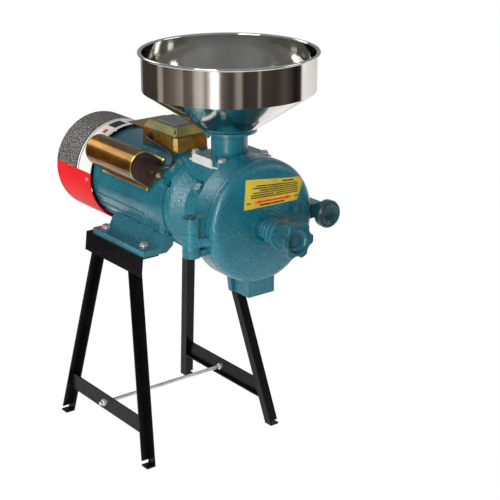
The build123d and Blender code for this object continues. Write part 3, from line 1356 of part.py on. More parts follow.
with BuildPart() as adjusting_knob:
    bar_y(knob_skirt_r, skirt_y, star_y)
    with BuildSketch(facing(star_y)) as star:
        Circle(knob_tip_r)
        with PolarLocations(knob_root_r + knob_scallop_r, knob_lobes, start_angle=knob_turned + 180 / knob_lobes):
            Circle(knob_scallop_r, mode=Mode.SUBTRACT)
        fillet(star.vertices(), 5)
    extrude(amount=knob_star)
    fillet(adjusting_knob.faces().sort_by(Axis.Y)[0].edges(), 2.5)
    # dish in the front
    with BuildSketch(Plane.YZ):
        with BuildLine():
            Polyline((knob_front_y - 1, motor_z + knob_dish_r), (knob_front_y - 1, motor_z),
                     (knob_front_y + knob_dish, motor_z), (knob_front_y + knob_dish, motor_z + knob_floor_r))
            ThreePointArc((knob_front_y + knob_dish, motor_z + knob_floor_r),
                          (knob_front_y + 0.75 * knob_dish, motor_z + knob_floor_r + 0.66 * (knob_dish_r - knob_floor_r)),
                          (knob_front_y, motor_z + knob_dish_r))
            Line((knob_front_y, motor_z + knob_dish_r), (knob_front_y - 1, motor_z + knob_dish_r))
        make_face()
    revolve(axis=motor_axis, mode=Mode.SUBTRACT)
    # room for the boss and the stem
    bar_y(boss_r + 0.4, skirt_y + 1, knob_seat_y - washer_t - run_gap, mode=Mode.SUBTRACT)
    bar_y(stem_r - 4 + seat_gap, skirt_y, stem_tip_y - run_gap, mode=Mode.SUBTRACT)
finish(adjusting_knob, "adjusting_knob")

# ---------------------------------------------------------------- clamp
lug_front_y = door_rear_y - clamp_lug_t
washer_front_y = lug_front_y - run_gap - clamp_washer_t
clamp_base_y = washer_front_y - run_gap
clamp_front_y = clamp_base_y - clamp_knob_t
with BuildPart() as clamp_washer:
    with BuildSketch(facing(washer_front_y + clamp_washer_t, clamp_x, clamp_z)):
        Circle(clamp_stud_r + 5)
        Circle(clamp_stud_r + 0.05, mode=Mode.SUBTRACT)
    extrude(amount=clamp_washer_t)
finish(clamp_washer, "clamp_washer")

with BuildPart() as clamp_stud:
    bar_y(clamp_stud_r, seam_y + clamp_reach, clamp_base_y - 12, clamp_x, clamp_z)
    chamfer(clamp_stud.edges().filter_by(GeomType.CIRCLE).sort_by(Axis.Y)[-1], 1.2)
finish(clamp_stud, "clamp_stud")

with BuildPart() as clamp_knob:
    with BuildSketch(Plane.YZ.offset(clamp_x)):
        with BuildLine():
            Polyline((clamp_base_y, clamp_z), (clamp_base_y, clamp_z + 12), (clamp_base_y - 6, clamp_z + 13),
                     (clamp_base_y - 9, clamp_z + clamp_r), (clamp_front_y + 3, clamp_z + clamp_r),
                     (clamp_front_y, clamp_z + clamp_r - 2.5), (clamp_front_y, clamp_z + clamp_r - 6),
                     (clamp_front_y + 4, clamp_z + 12), (clamp_front_y + 5, clamp_z), close=True)
        make_face()
    revolve(axis=Axis((clamp_x, 0, clamp_z), (0, 1, 0)))
    bar_y(clamp_stud_r + 0.02, clamp_base_y + 1, clamp_base_y - 12.05, clamp_x, clamp_z, mode=Mode.SUBTRACT)
finish(clamp_knob, "clamp_knob")
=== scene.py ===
import math

import bmesh
import bpy
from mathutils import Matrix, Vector


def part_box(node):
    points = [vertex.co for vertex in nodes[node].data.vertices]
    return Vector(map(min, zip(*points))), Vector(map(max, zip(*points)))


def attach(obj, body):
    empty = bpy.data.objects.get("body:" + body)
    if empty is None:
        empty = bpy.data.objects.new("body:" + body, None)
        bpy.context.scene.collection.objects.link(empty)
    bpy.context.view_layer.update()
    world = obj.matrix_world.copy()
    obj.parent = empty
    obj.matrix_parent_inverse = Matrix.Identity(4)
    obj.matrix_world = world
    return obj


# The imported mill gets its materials, a few rings and washers, a camera and a studio. All is in metres, with
# X to the right, Y to the back and Z up, and the door faces -Y.
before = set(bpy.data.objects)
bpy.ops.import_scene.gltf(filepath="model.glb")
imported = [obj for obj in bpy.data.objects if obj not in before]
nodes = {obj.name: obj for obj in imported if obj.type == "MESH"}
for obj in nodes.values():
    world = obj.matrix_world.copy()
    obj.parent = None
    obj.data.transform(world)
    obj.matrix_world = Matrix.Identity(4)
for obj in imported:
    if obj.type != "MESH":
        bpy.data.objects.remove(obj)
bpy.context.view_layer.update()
scene = bpy.context.scene

MM = 0.001
SHAFT_Z = 0.464                                 # the shaft's axis runs along Y at this height
COWL_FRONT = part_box("fan_cowl")[0].y


# ------------------------------------------------------------------ colours and node helpers
def srgb(r, g, b):
    """Linear colour of an 8-bit screen colour."""
    linear = ((c / 255 / 12.92) if c <= 10 else ((c / 255 + 0.055) / 1.055) ** 2.4 for c in (r, g, b))
    return tuple(linear) + (1.0,)


def srgb_mix(a, b, share):
    """Colour part of the way from one to another."""
    return tuple(p + (q - p) * share for p, q in zip(a, b))


class Material:
    """A node material with short calls for the nodes that its colour, gloss and relief come from."""

    def __init__(self, name, color=(0.5, 0.5, 0.5, 1), rough=0.4, metal=0.0, coat=0.0, coat_rough=0.1,
                 specular=0.5):
        self.mat = bpy.data.materials.new(name)
        self.mat.use_nodes = True
        self.tree = self.mat.node_tree
        self.shader = self.tree.nodes["Principled BSDF"]
        self.set(self.shader, **{"Base Color": color, "Roughness": rough, "Metallic": metal,
                                 "Coat Weight": coat, "Coat Roughness": coat_rough,
                                 "Specular IOR Level": specular})
        self.coord = self.add("ShaderNodeTexCoord")

    def set(self, node, **values):
        """Set or link inputs by name, or by number as i0, i1 and so on."""
        for key, value in values.items():
            socket = node.inputs[int(key[1:])] if key[0] == "i" and key[1:].isdigit() else node.inputs[key]
            if isinstance(value, bpy.types.NodeSocket):
                self.tree.links.new(value, socket)
            else:
                socket.default_value = value
        return node

    def add(self, kind, values=None, **props):
        node = self.tree.nodes.new(kind)
        for key, value in props.items():
            setattr(node, key, value)
        self.set(node, **(values or {}))
        return node

    def math(self, op, a, b=0.0, clamp=False):
        return self.add("ShaderNodeMath", {"i0": a, "i1": b}, operation=op, use_clamp=clamp).outputs[0]

    def between(self, value, low, high):
        """One where the value lies between two limits, else zero."""
        return self.math("MULTIPLY", self.math("GREATER_THAN", value, low),
                         self.math("LESS_THAN", value, high))

    def xyz(self):
        return self.add("ShaderNodeSeparateXYZ", {"i0": self.coord.outputs["Object"]}).outputs

    def join(self, x, y):
        """Flat coordinates from two values."""
        return self.add("ShaderNodeCombineXYZ", {"i0": x, "i1": y, "i2": 0.0}).outputs[0]

    def noise(self, scale, detail=3.0, rough=0.5, distortion=0.0, stretch=None, source=None):
        vector = source or self.coord.outputs["Object"]
        if stretch:
            vector = self.add("ShaderNodeMapping", {"Vector": vector, "Scale": stretch}).outputs[0]
        return self.add("ShaderNodeTexNoise", {"Vector": vector, "Scale": scale, "Detail": detail,
                                               "Roughness": rough, "Distortion": distortion}).outputs["Fac"]

    def ramp(self, value, stops):
        node = self.add("ShaderNodeValToRGB", {"Fac": value})
        elements = node.color_ramp.elements
        while len(elements) < len(stops):
            elements.new(0.5)
        for element, (place, color) in zip(elements, stops):
            element.position = place
            element.color = color if isinstance(color, tuple) else (color, color, color, 1)
        return node.outputs[0]

    def mix(self, fac, a, b, blend="MIX"):
        """Mix of two colours, which are inputs 6 and 7 of the node."""
        node = self.add("ShaderNodeMix", data_type="RGBA", blend_type=blend)
        self.set(node, i0=fac, i6=a, i7=b)
        return node.outputs[2]

    def bump(self, height, strength, distance, normal=None):
        values = {"Height": height, "Strength": strength, "Distance": distance}
        if normal is not None:
            values["Normal"] = normal
        return self.add("ShaderNodeBump", values).outputs[0]

    def out(self, **values):
        """Set or link the shader's inputs, with _ for a space, and give the finished material."""
        self.set(self.shader, **{key.replace("_", " "): value for key, value in values.items()})
        return self.mat


# ------------------------------------------------------------------ enamels
SHADE_FADE = 4                                   # millimetres in which the painted shade fades in


def hammertone(name, base, dark, light, grain=300.0, relief=0.75, shade_from=None):
    """Sprayed hammertone enamel over a sand casting, with painted shade, nearly black, behind shade_from along
    Y.
    """
    m = Material(name, rough=0.25, coat=0.5, coat_rough=0.09, specular=0.28)
    broad = m.noise(11)
    fine = m.ramp(m.noise(grain, 2), [(0.34, 0.0), (0.66, 1.0)])
    speck = m.noise(1300, 2)
    tone = m.ramp(broad, [(0.3, srgb_mix(base, dark, 0.5)), (0.5, base), (0.74, srgb_mix(base, light, 0.35))])
    tone = m.mix(m.ramp(speck, [(0.52, 0.0), (0.78, 0.5)]), tone, light)
    tone = m.mix(m.ramp(fine, [(0.0, 0.5), (0.4, 0.0)]), tone, dark)
    if shade_from is not None:
        # painted shade: past shade_from the colour fades to nearly black, standing in for the shade inside the
        # cowl
        past = m.math("SUBTRACT", m.xyz()[1], shade_from)
        painted_shade = m.math("MULTIPLY", past, 1 / (SHADE_FADE * MM), clamp=True)
        tone = m.mix(painted_shade, tone, srgb(10, 12, 13))
    lumps = m.bump(m.noise(95, 2), 0.25, 0.0012)
    normal = m.bump(fine, relief, 0.0004, lumps)
    return m.out(Base_Color=tone, Roughness=m.ramp(m.noise(60), [(0.3, 0.22), (0.7, 0.32)]),
                 Normal=normal, Coat_Normal=normal)


# base, dark, light
TEAL = (srgb(19, 92, 106), srgb(8, 60, 74), srgb(48, 124, 137))
# the knob's colours are the same teal enamel made darker: painted shade
TEAL_KNOB_SHADED = (srgb(14, 76, 88), srgb(6, 48, 60), srgb(44, 116, 128))
TEAL_DEEP = (srgb(22, 62, 67), srgb(10, 40, 45), srgb(46, 94, 99))
teal = hammertone("teal_hammertone", *TEAL)
teal_fine = hammertone("teal_fine", *TEAL, grain=420.0, relief=0.35)
# teal_knob_shaded is the teal enamel with painted shade
teal_knob_shaded = hammertone("teal_knob_shaded", *TEAL_KNOB_SHADED, grain=420.0, relief=0.3)
teal_deep = hammertone("teal_deep", *TEAL_DEEP, grain=380.0, relief=0.5)
# painted shade: the motor's frame and rear shield are painted nearly black inside the cowl, where they lie in
# shade
frame_enamel_painted_shade = hammertone("frame_enamel_painted_shade", *TEAL, grain=420.0, relief=0.4, shade_from=COWL_FRONT - 2 * MM)


def painted(name, base, dark, rough, relief, specular):
    """Smooth sprayed enamel on sheet or rolled steel."""
    m = Material(name, rough=rough, specular=specular)
    tone = m.mix(m.ramp(m.noise(22, 4, 0.6), [(0.35, 0.0), (0.75, 1.0)]), base, dark)
    return m.out(Base_Color=tone, Roughness=m.ramp(m.noise(90, 4), [(0.3, rough - 0.06), (0.7, rough + 0.1)]),
                 Normal=m.bump(m.noise(260), relief, 0.0004))


black_paint = painted("stand_black", srgb(7, 7, 8), srgb(14, 14, 14), rough=0.3, relief=0.3, specular=0.12)


# ------------------------------------------------------------------ metals
def metal(name, base, dark, rough, scratch=(1, 1, 1), relief=0.06, scale=120.0, metallic=1.0):
    """Bare or plated metal with faint directional marks."""
    m = Material(name, metal=metallic, rough=rough)
    marks = m.noise(scale, 4, 0.6, stretch=scratch)
    tone = m.mix(m.ramp(m.noise(40, 4), [(0.3, 0.0), (0.75, 1.0)]), base, dark)
    return m.out(Base_Color=tone, Roughness=m.ramp(marks, [(0.3, rough - 0.07), (0.75, rough + 0.14)]),
                 Normal=m.bump(marks, relief, 0.0003))


bright_steel = metal("bright_zinc", srgb(226, 228, 226), srgb(188, 188, 184), 0.3,
                     relief=0.1, scale=500, metallic=0.7)
ground_steel = metal("ground_steel", srgb(205, 205, 205), srgb(170, 170, 168), 0.2, scratch=(1, 40, 1))
lamination = metal("laminations", srgb(108, 108, 112), srgb(70, 70, 74), 0.45, scratch=(1, 60, 1), relief=0.4)
burr_iron = metal("chilled_iron", srgb(96, 96, 100), srgb(58, 58, 62), 0.55, relief=0.5, scale=900)
copper = metal("enamelled_copper", srgb(176, 96, 50), srgb(120, 58, 28), 0.35, relief=0.4, scale=600)
gate_steel = metal("galvanised", srgb(226, 228, 226), srgb(204, 206, 204), 0.4,
                   relief=0.15, scale=220, metallic=0.45)


def stainless():
    """Mirror-polished sheet with faint spinning marks."""
    m = Material("polished_stainless", metal=1.0, rough=0.06)
    rings = m.noise(240, 3, 0.6, stretch=(0.06, 0.06, 1.0))
    tone = m.mix(m.ramp(m.noise(9), [(0.35, 0.0), (0.8, 1.0)]), srgb(222, 220, 216), srgb(188, 186, 180))
    return m.out(Base_Color=tone, Roughness=m.ramp(rings, [(0.3, 0.07), (0.8, 0.095)]),
                 Normal=m.bump(m.noise(26, 2, stretch=(1, 1, 0.35)), 0.06, 0.002))


steel_mirror = stainless()


def zinc_gold(name, stops, stretch, metallic=0.72, rough=0.26, highlight_edge_y=None):
    """Yellow passivated zinc that drifts in colour along the sheet, with a painted highlight on an edge in
    front of highlight_edge_y.
    """
    m = Material(name, metal=metallic, rough=rough)
    drift = m.noise(9, 2, distortion=0.8, stretch=stretch)
    tone = m.ramp(drift, [(place, srgb(*color)) for place, color in stops])
    marks = m.noise(160, 4, 0.6, stretch=(1, 8, 1))
    blotch = m.ramp(m.noise(48, 3, 0.6), [(0.35, 0.0), (0.75, 0.5)])
    tone = m.mix(blotch, tone, srgb(84, 56, 20))
    if highlight_edge_y is not None:
        # painted highlight: a pale yellow line along the front edge
        tone = m.mix(m.math("LESS_THAN", m.xyz()[1], highlight_edge_y), tone, srgb(206, 188, 96))
    return m.out(Base_Color=tone, Roughness=m.ramp(marks, [(0.3, rough - 0.1), (0.75, rough + 0.1)]),
                 Normal=m.bump(marks, 0.08, 0.0003))


ALONG_Y = (2.6, 0.55, 2.6)                      # stretch of the drift on a sheet that runs along Y
gold = zinc_gold("yellow_zinc",
                 [(0.24, (128, 62, 30)), (0.36, (150, 100, 30)), (0.47, (106, 70, 20)),
                  (0.55, (128, 112, 38)), (0.64, (92, 84, 34)), (0.76, (160, 92, 58))], ALONG_Y)
box_gold = zinc_gold("box_zinc",
                     [(0.26, (140, 66, 32)), (0.4, (156, 92, 42)), (0.5, (120, 78, 22)),
                      (0.6, (128, 108, 36)), (0.74, (160, 92, 60))], (1.6, 1.2, 3.0), metallic=0.4)
# the cover's front edge carries a painted highlight
cover_gold = zinc_gold("cover_zinc",
                       [(0.24, (128, 62, 26)), (0.36, (146, 100, 26)), (0.47, (104, 68, 16)),
                        (0.55, (124, 112, 34)), (0.64, (92, 84, 28)), (0.76, (150, 84, 50))], ALONG_Y,
                       metallic=0.8, rough=0.22, highlight_edge_y=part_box("capacitor_cover")[0].y + 2.2 * MM)
lid_gold = zinc_gold("lid_zinc",
                     [(0.26, (176, 96, 74)), (0.38, (150, 112, 50)), (0.5, (106, 108, 52)),
                      (0.62, (84, 92, 42)), (0.76, (168, 104, 78))], (2.2, 0.8, 1.0), metallic=0.6, rough=0.3)


# ------------------------------------------------------------------ plastics and rubber
def moulded(name, base, light, rough=0.45, relief=0.2, coat=0.0):
    """Moulded plastic or rubber with a fine grain."""
    m = Material(name, rough=rough, coat=coat)
    tone = m.mix(m.ramp(m.noise(30, 4), [(0.35, 0.0), (0.8, 1.0)]), base, light)
    return m.out(Base_Color=tone, Roughness=m.ramp(m.noise(70), [(0.3, rough - 0.08), (0.7, rough + 0.12)]),
                 Normal=m.bump(m.noise(900, 2), relief, 0.0002))


black_plastic = moulded("black_plastic", srgb(18, 18, 18), srgb(34, 34, 34))
black_rubber = moulded("black_rubber", srgb(16, 16, 16), srgb(36, 36, 36), rough=0.6)
lead_sheath = moulded("lead_sheath", srgb(22, 21, 21), srgb(46, 45, 44), rough=0.4)
brown_cap = moulded("brown_end_cap", srgb(44, 26, 24), srgb(72, 38, 34), rough=0.22, relief=0.05, coat=0.4)
grey_case = moulded("grey_case", srgb(150, 146, 140), srgb(118, 114, 110), rough=0.38)

# ------------------------------------------------------------------ prints
# the cowl's print, in millimetres round the cowl and along it
COWL_R = 92.5
COWL_SIDE_R = 86.5                              # what lies inside this radius is the grille
COWL_BAND = (8, 172)                            # degrees from +X over the top
COWL_SPLIT = COWL_FRONT / MM + 40.0             # rear end of the white field
COWL_BLOCK = (150.0, 176.0, -34.0, -8.0)        # from and to round the cowl, from and to along it
COWL_MARK = (186.0, 196.0, -26.0, -16.0)
COWL_LINES = (2.0, 6.0, 9.0)                    # behind the split: white, black and the hatching begin


def cowl_print():
    """Red enamel with a band over its upper side. In front is a white field with a dark block and a red mark,
    behind it are black and white lines, and fine hatching covers the rest."""
    m = Material("cowl_print", rough=0.5, specular=0.14)
    x, y, z = m.xyz()
    rise = m.math("SUBTRACT", z, SHAFT_Z)
    around = m.math("ARCTAN2", rise, x)
    reach = m.math("SQRT", m.math("ADD", m.math("POWER", m.math("ABSOLUTE", x), 2.0),
                                  m.math("POWER", m.math("ABSOLUTE", rise), 2.0)))
    on_top = m.between(around, math.radians(COWL_BAND[0]), math.radians(COWL_BAND[1]))
    band = m.math("MULTIPLY", on_top, m.math("GREATER_THAN", reach, COWL_SIDE_R * MM))
    u = m.math("MULTIPLY", around, COWL_R)
    v = m.math("MULTIPLY", y, 1000.0)

    def patch(u_low, u_high, v_low, v_high):
        """One inside a rectangle of the band, else zero."""
        return m.math("MULTIPLY", m.between(u, u_low, u_high),
                      m.between(v, COWL_SPLIT + v_low, COWL_SPLIT + v_high))

    def from_line(past_split, front, rear):
        """One colour up to a line round the cowl and another behind it."""
        return m.mix(m.math("GREATER_THAN", v, COWL_SPLIT + past_split), front, rear)

    red = m.mix(m.ramp(m.noise(18), [(0.3, 0.0), (0.8, 1.0)]), srgb(228, 34, 36), srgb(206, 24, 30))
    white = m.mix(m.ramp(m.noise(30), [(0.35, 0.0), (0.8, 1.0)]), srgb(232, 228, 222), srgb(214, 208, 200))
    black = srgb(26, 24, 24)
    specks = m.ramp(m.noise(0.5, 2, 0.7, source=m.join(u, v)), [(0.53, 0.0), (0.61, 1.0)])
    hatching = m.mix(specks, srgb(34, 32, 32), srgb(206, 200, 192))
    field = m.mix(patch(*COWL_BLOCK), white, m.mix(specks, srgb(20, 22, 26), srgb(70, 74, 80)))
    field = m.mix(patch(*COWL_MARK), field, srgb(206, 52, 40))
    field = from_line(0.0, field, black)
    for past_split, rear in zip(COWL_LINES, (white, black, hatching)):
        field = from_line(past_split, field, rear)
    return m.out(Base_Color=m.mix(band, red, field), Normal=m.bump(m.noise(40, 2), 0.05, 0.001))


cowl_mat = cowl_print()

# the blank plate's rules, in millimetres: their pitch, half their length and where the border starts
PLATE_PITCH = 7.5
PLATE_HALF = 13.5
PLATE_BORDER = 15.2
PLATE_RULE = 0.09                               # thickness of a rule as a share of the pitch


def plate_print():
    """Blank black plate with plain pale rules."""
    m = Material("black_plate", rough=0.3, coat=0.3)
    x, y, _ = m.xyz()
    off = m.math("ABSOLUTE", x)
    rows = m.math("FRACT", m.math("MULTIPLY", y, 1000 / PLATE_PITCH))
    rule = m.math("MULTIPLY", m.math("LESS_THAN", rows, PLATE_RULE), m.math("LESS_THAN", off, PLATE_HALF * MM))
    line = m.math("MAXIMUM", rule, m.math("GREATER_THAN", off, PLATE_BORDER * MM))
    ink = m.mix(line, m.mix(m.noise(60), srgb(26, 26, 28), srgb(40, 42, 44)), srgb(120, 122, 124))
    return m.out(Base_Color=ink, Normal=m.bump(m.noise(300), 0.08, 0.0002))


plate_mat = plate_print()

# the door's label, in millimetres from the shaft
LABEL_LEFT = -44.0
LABEL_LENGTH = 120.0
# its lower and upper edge: height, the place where it has that height, and its fall per millimetre from there
LABEL_LOW = (38.0, -46.0, 0.018)
LABEL_HIGH = (88.0, -40.0, 0.123)
# ruled lines as shares of the label: height of the lower side, left end, right end, thickness
LABEL_RULES = [
    (0.86, 0.66, 0.86, 0.055), (0.75, 0.2, 0.92, 0.045), (0.67, 0.14, 0.93, 0.045), (0.59, 0.26, 0.92, 0.045),
    (0.51, 0.14, 0.93, 0.045), (0.43, 0.1, 0.5, 0.045), (0.43, 0.54, 0.93, 0.045), (0.35, 0.1, 0.93, 0.045),
    (0.17, 0.86, 0.95, 0.05), (0.17, 0.03, 0.1, 0.05), (0.05, 0.25, 0.68, 0.065)]
# the double arrow, in the same shares
ARROW_V = 0.2
ARROW_ENDS = (0.15, 0.83)
ARROW_HEAD = 0.12                               # length of each wedge
ARROW_SLOPE = 0.62                              # how fast a wedge widens
ARROW_SHAFT_FROM = 0.1                          # from each end
ARROW_SHAFT_HALF = 0.036                        # half its thickness


def label_print():
    """Yellow film with dark ruled lines and a red double arrow."""
    m = Material("yellow_label", rough=0.3, specular=0.4)
    x, _, z = m.xyz()
    x = m.math("MULTIPLY", x, 1000.0)
    z = m.math("MULTIPLY", m.math("SUBTRACT", z, SHAFT_Z), 1000.0)

    def edge(height, start, fall):
        return m.math("SUBTRACT", height, m.math("MULTIPLY", m.math("SUBTRACT", x, start), fall))

    # u runs along the label, v up it
    u = m.math("DIVIDE", m.math("SUBTRACT", x, LABEL_LEFT), LABEL_LENGTH)
    low, high = edge(*LABEL_LOW), edge(*LABEL_HIGH)
    v = m.math("DIVIDE", m.math("SUBTRACT", z, low), m.math("SUBTRACT", high, low))

    ink = 0.0
    for level, start, stop, height in LABEL_RULES:
        rule = m.math("MULTIPLY", m.between(v, level, level + height), m.between(u, start, stop))
        ink = m.math("MAXIMUM", ink, rule)
    gaps = m.noise(1.6, 2, 0.6, source=m.join(x, m.math("MULTIPLY", v, 3.0)))
    ink = m.math("MULTIPLY", ink, m.ramp(gaps, [(0.36, 0.25), (0.46, 1.0)]))

    # arrow: a thin shaft with a wedge at each end
    off = m.math("ABSOLUTE", m.math("SUBTRACT", v, ARROW_V))
    reach = m.math("MINIMUM", m.math("SUBTRACT", u, ARROW_ENDS[0]), m.math("SUBTRACT", ARROW_ENDS[1], u))
    wedge = m.math("MULTIPLY", m.math("LESS_THAN", off, m.math("MULTIPLY", reach, ARROW_SLOPE)),
                   m.math("LESS_THAN", reach, ARROW_HEAD))
    shaft = m.math("MULTIPLY", m.math("LESS_THAN", off, ARROW_SHAFT_HALF),
                   m.math("GREATER_THAN", reach, ARROW_SHAFT_FROM))

    film = m.mix(m.ramp(m.noise(26), [(0.35, 0.0), (0.75, 1.0)]), srgb(196, 172, 54), srgb(168, 146, 40))
    tone = m.mix(ink, film, srgb(32, 28, 16))
    tone = m.mix(m.math("MAXIMUM", wedge, shaft), tone, srgb(216, 40, 24))
    return m.out(Base_Color=tone, Roughness=m.ramp(m.noise(50), [(0.3, 0.24), (0.7, 0.4)]),
                 Normal=m.bump(m.noise(18, 2), 0.1, 0.0008))


label_mat = label_print()

# ------------------------------------------------------------------ materials of the CAD nodes
ASSIGN = {
    # stand
    "stand_frame_left": black_paint, "stand_frame_right": black_paint, "tie_rod": bright_steel,
    "tie_rod_nuts": bright_steel, "foot_bolts": bright_steel, "foot_nuts": bright_steel,
    # motor
    "motor_frame": frame_enamel_painted_shade, "stator_core": lamination, "stator_windings": copper,
    "rotor_core": lamination, "main_shaft": ground_steel, "front_bearing": ground_steel,
    "rear_bearing": ground_steel, "end_shield": teal, "rear_end_shield": frame_enamel_painted_shade,
    "shield_bolts": teal_fine, "fan": black_plastic, "fan_cowl": cowl_mat, "cowl_screws": bright_steel,
    # terminal box and capacitor
    "terminal_box": box_gold, "box_gasket": black_rubber, "box_lid": lid_gold, "lid_screws": bright_steel,
    "rating_plate": plate_mat, "terminal_block": black_plastic, "cable_gland": black_plastic,
    "lead_grommet": black_rubber, "capacitor": grey_case, "capacitor_cover": cover_gold,
    "capacitor_base": gold, "capacitor_end_cap": brown_cap, "capacitor_screws": bright_steel,
    "capacitor_lead": lead_sheath,
    # grinding head
    "mill_body": teal, "body_bolts": bright_steel, "shaft_seal": black_rubber, "oil_plug": teal_fine,
    "mill_door": teal, "door_seal": black_rubber, "door_label": label_mat, "hinge_pin": teal_deep,
    "lock_screw": teal_fine, "fixed_burr": burr_iron, "burr_carrier": teal_fine, "burr_screws": bright_steel,
    "thrust_washer": bright_steel, "adjusting_knob": teal_knob_shaded, "rotating_burr": burr_iron,
    "burr_nut": bright_steel, "feed_auger": burr_iron, "clamp_knob": teal_deep, "clamp_stud": bright_steel,
    "clamp_washer": bright_steel,
    # feed
    "feed_neck": teal_fine, "neck_bolts": bright_steel, "gate_guides": gate_steel, "gate_plate": gate_steel,
    "hopper": steel_mirror,
}
for name, material in ASSIGN.items():
    materials = nodes[name].data.materials
    materials.clear()
    materials.append(material)


# ------------------------------------------------------------------ added pieces
def lathe(name, profile, origin, axis, body, material, segments=64, bevel=0.0):
    """Ring turned about an axis from (distance along it, radius) points in millimetres."""
    mesh = bpy.data.meshes.new(name)
    shape = bmesh.new()
    direction = Vector(axis).normalized()
    side = direction.orthogonal().normalized()
    other = direction.cross(side)
    rings = []
    for along, radius in profile:
        ring = []
        for i in range(segments):
            a = 2 * math.pi * i / segments
            outward = side * math.cos(a) + other * math.sin(a)
            ring.append(shape.verts.new(Vector(origin) + MM * (direction * along + radius * outward)))
        rings.append(ring)
    for a, b in zip(rings, rings[1:] + rings[:1]):
        for i in range(segments):
            j = (i + 1) % segments
            shape.faces.new((a[i], a[j], b[j], b[i]))
    bmesh.ops.recalc_face_normals(shape, faces=shape.faces)
    shape.to_mesh(mesh)
    shape.free()
    for polygon in mesh.polygons:
        polygon.use_smooth = True
    obj = bpy.data.objects.new(name, mesh)
    scene.collection.objects.link(obj)
    mesh.materials.append(material)
    if bevel:
        rounding = obj.modifiers.new("edges", "BEVEL")
        rounding.width = bevel * MM
        rounding.segments = 2
        rounding.limit_method = "ANGLE"
    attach(obj, body)


def half_round(radius, half, rise, steps=10, sunk=0.6):
    """Half-round section that stands out from a radius, with its flat side a little inside it."""
    points = [(half * math.cos(a), radius + rise * math.sin(a))
              for a in (math.pi * i / steps for i in range(steps + 1))]
    return points + [(-half, radius - sunk), (half, radius - sunk)]


# the cast rings, in millimetres
SKIRT_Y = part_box("adjusting_knob")[1].y / MM    # rear edge of the knob's skirt
SKIRT_R = 25.0
SKIRT_RIM = 2.4                                 # from the skirt's edge forward
BOSS_R = 20.0
BOSS_RINGS = (30.0, 22.5, 15.0)                 # from the skirt's edge back

# turned rings on the door's boss
for i, back in enumerate(BOSS_RINGS):
    lathe(f"boss_ring_{i}", half_round(BOSS_R, half=2.6, rise=1.3), (0, (SKIRT_Y + back) * MM, SHAFT_Z),
          (0, 1, 0), "door", teal_fine)
# raised rim on the rear edge of the knob's skirt
lathe("knob_skirt_rim", half_round(SKIRT_R, half=2.2, rise=1.1), (0, (SKIRT_Y - SKIRT_RIM) * MM, SHAFT_Z),
      (0, 1, 0), "knob", teal_fine)


def washers(prefix, node, half, head, outer, thick, inner):
    """Bright washers under the heads of a node's four bolts along Z. They are placed from the node's box, by
    half a head's width along X and its height."""
    low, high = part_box(node)
    half_x, half_y = half * MM, half * MM * math.cos(math.pi / 6)
    places = [(x, y) for x in (low.x + half_x, high.x - half_x) for y in (low.y + half_y, high.y - half_y)]
    for i, (x, y) in enumerate(places):
        lathe(f"{prefix}_{i}", [(0.0, inner), (0.0, outer), (thick, outer), (thick, inner)],
              (x, y, high.z - head * MM), (0, 0, 1), "base", bright_steel,
              segments=40, bevel=0.25)


washers("foot_washer", "foot_bolts", half=7.4, head=5.3, outer=9.0, thick=1.3, inner=4.6)
washers("neck_washer", "neck_bolts", half=6.5, head=5.0, outer=7.6, thick=1.1, inner=4.3)

# ------------------------------------------------------------------ camera, fitted to points of the photo
cam_data = bpy.data.cameras.new("camera")
cam_data.sensor_width = 36
cam_data.lens = 99.35
cam_data.clip_end = 50
camera = bpy.data.objects.new("camera", cam_data)
scene.collection.objects.link(camera)
camera.location = (-1.32578, -1.91439, 1.19620)
camera.rotation_euler = (math.radians(70.243), math.radians(-0.075), math.radians(-37.385))
scene.camera = camera

# ------------------------------------------------------------------ stage and light
scene.view_settings.view_transform = "Standard"

FLOOR_SIZE = 14
FLOOR_GLOW = 1.02
FLOOR_GLOW_SHARE = 0.97                         # the rest is lit, and keeps the object's shadow


def floor_white():
    """Matt floor that shows nearly plain white to the camera and in metal and glass."""
    m = Material("floor_white", color=(0.9, 0.9, 0.9, 1), rough=0.9, specular=0.1)
    glow = m.add("ShaderNodeEmission", {"Color": (1, 1, 1, 1), "Strength": FLOOR_GLOW})
    path = m.add("ShaderNodeLightPath").outputs
    reflected = m.math("MAXIMUM", path["Is Glossy Ray"], path["Is Transmission Ray"])
    seen = m.math("MAXIMUM", path["Is Camera Ray"], reflected)
    blend = m.add("ShaderNodeMixShader", {"i0": m.math("MULTIPLY", seen, FLOOR_GLOW_SHARE),
                                          "i1": m.shader.outputs[0], "i2": glow.outputs[0]})
    m.tree.links.new(blend.outputs[0], m.tree.nodes["Material Output"].inputs[0])
    return m.mat


bpy.ops.mesh.primitive_plane_add(size=1, location=(0, 0, 0))
floor = bpy.context.object
floor.name = "floor"
floor.scale = (FLOOR_SIZE, FLOOR_SIZE, 1)
floor.data.materials.append(floor_white())

# a low ring of dark and pale card round the studio, which only the polished metal shows
RING_MIDDLE = (0.0, -0.124)
RING_R = 1.25
RING_Z = (0.01, 0.66)
RING_STEPS = 180
RING_GLOW = 1.25
FACING = -126.5                                 # where the front of the studio lies
# angle round the hopper from the camera's side, to the right, and how bright the card is there
CARDS = [(-180, 0.25), (-150, 0.3), (-145, 0.05), (-102, 0.05), (-98, 0.35), (-92, 0.35), (-88, 0.08),
         (-72, 0.15), (-60, 0.3), (-56, 0.1), (-46, 0.14), (-42, 0.45), (-34, 0.6), (-28, 0.25), (-24, 0.55),
         (-13, 0.5), (-10, 0.1), (4, 0.05), (10, 0.3), (14, 0.3), (17, 0.04), (34, 0.05), (37, 0.3),
         (40, 0.05), (60, 0.04), (72, 0.08), (90, 0.01), (100, 0.03), (105, 1.0), (180, 0.5)]


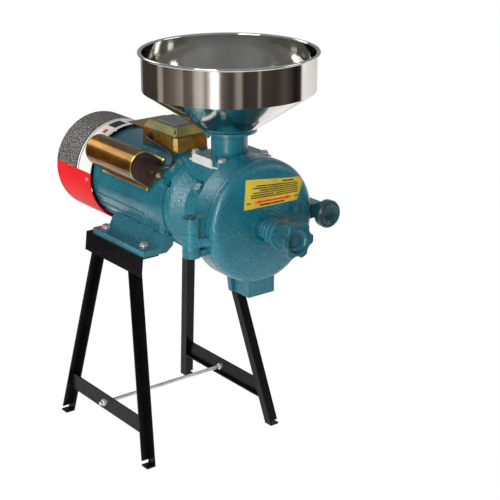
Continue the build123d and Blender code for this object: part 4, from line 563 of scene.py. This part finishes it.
def card_glow():
    """Light of the cards by their angle, warmer where it is dim."""
    m = Material("card_ring")
    x, y, _ = m.xyz()
    angle = m.math("ARCTAN2", m.math("SUBTRACT", y, RING_MIDDLE[1]), x)
    turned = m.math("SUBTRACT", angle, math.radians(FACING))
    share = m.math("FRACT", m.math("ADD", m.math("DIVIDE", turned, 2 * math.pi), 1.5))
    level = m.ramp(share, [((degrees + 180) / 360, bright) for degrees, bright in CARDS])
    tint = m.mix(level, (1.0, 0.8, 0.68, 1), (1, 1, 1, 1))
    glow = m.add("ShaderNodeEmission", {"Color": m.mix(1.0, level, tint, "MULTIPLY"), "Strength": RING_GLOW})
    m.tree.links.new(glow.outputs[0], m.tree.nodes["Material Output"].inputs[0])
    return m.mat


def card_ring():
    mesh = bpy.data.meshes.new("card_ring")
    shell = bmesh.new()
    angles = [math.radians(360 / RING_STEPS * i) for i in range(RING_STEPS)]
    circle = [(RING_MIDDLE[0] + RING_R * math.cos(a), RING_MIDDLE[1] + RING_R * math.sin(a)) for a in angles]
    low, high = ([shell.verts.new((x, y, z)) for x, y in circle] for z in RING_Z)
    for i in range(RING_STEPS):
        j = (i + 1) % RING_STEPS
        shell.faces.new((low[i], low[j], high[j], high[i]))
    shell.to_mesh(mesh)
    shell.free()
    obj = bpy.data.objects.new("card_ring", mesh)
    scene.collection.objects.link(obj)
    mesh.materials.append(card_glow())
    for kind in ("camera", "diffuse", "shadow", "transmission", "volume_scatter"):
        setattr(obj, "visible_" + kind, False)


card_ring()


def light_world():
    """Soft cool light from all round, and plain white for the camera."""
    world = scene.world or bpy.data.worlds.new("world")
    scene.world = world
    world.use_nodes = True
    tree = world.node_tree
    tree.nodes.clear()

    def background(color, strength):
        node = tree.nodes.new("ShaderNodeBackground")
        node.inputs[0].default_value = color
        node.inputs[1].default_value = strength
        return node.outputs[0]

    path = tree.nodes.new("ShaderNodeLightPath")
    blend = tree.nodes.new("ShaderNodeMixShader")
    output = tree.nodes.new("ShaderNodeOutputWorld")
    tree.links.new(path.outputs["Is Camera Ray"], blend.inputs[0])
    tree.links.new(background((0.9, 0.94, 1.0, 1), 0.36), blend.inputs[1])
    tree.links.new(background((1, 1, 1, 1), 1.0), blend.inputs[2])
    tree.links.new(blend.outputs[0], output.inputs[0])


light_world()

LIT = Vector((0, -0.05, 0.45))                  # the point that every lamp faces


def lamp(name, location, size, power, size_y=None):
    data = bpy.data.lights.new(name, "AREA")
    data.shape = "RECTANGLE"
    data.size = size
    data.size_y = size_y or size
    data.energy = power
    obj = bpy.data.objects.new(name, data)
    scene.collection.objects.link(obj)
    obj.location = location
    obj.rotation_euler = (LIT - Vector(location)).to_track_quat("-Z", "Y").to_euler()


lamp("key", (-1.9, -0.9, 1.9), size=1.0, power=19)
lamp("strip", (-1.7, -1.35, 0.62), size=0.2, power=38, size_y=1.2)
lamp("fill", (1.9, -1.8, 1.3), size=1.2, power=8)
lamp("rim", (-0.9, 1.9, 1.7), size=1.0, power=12)
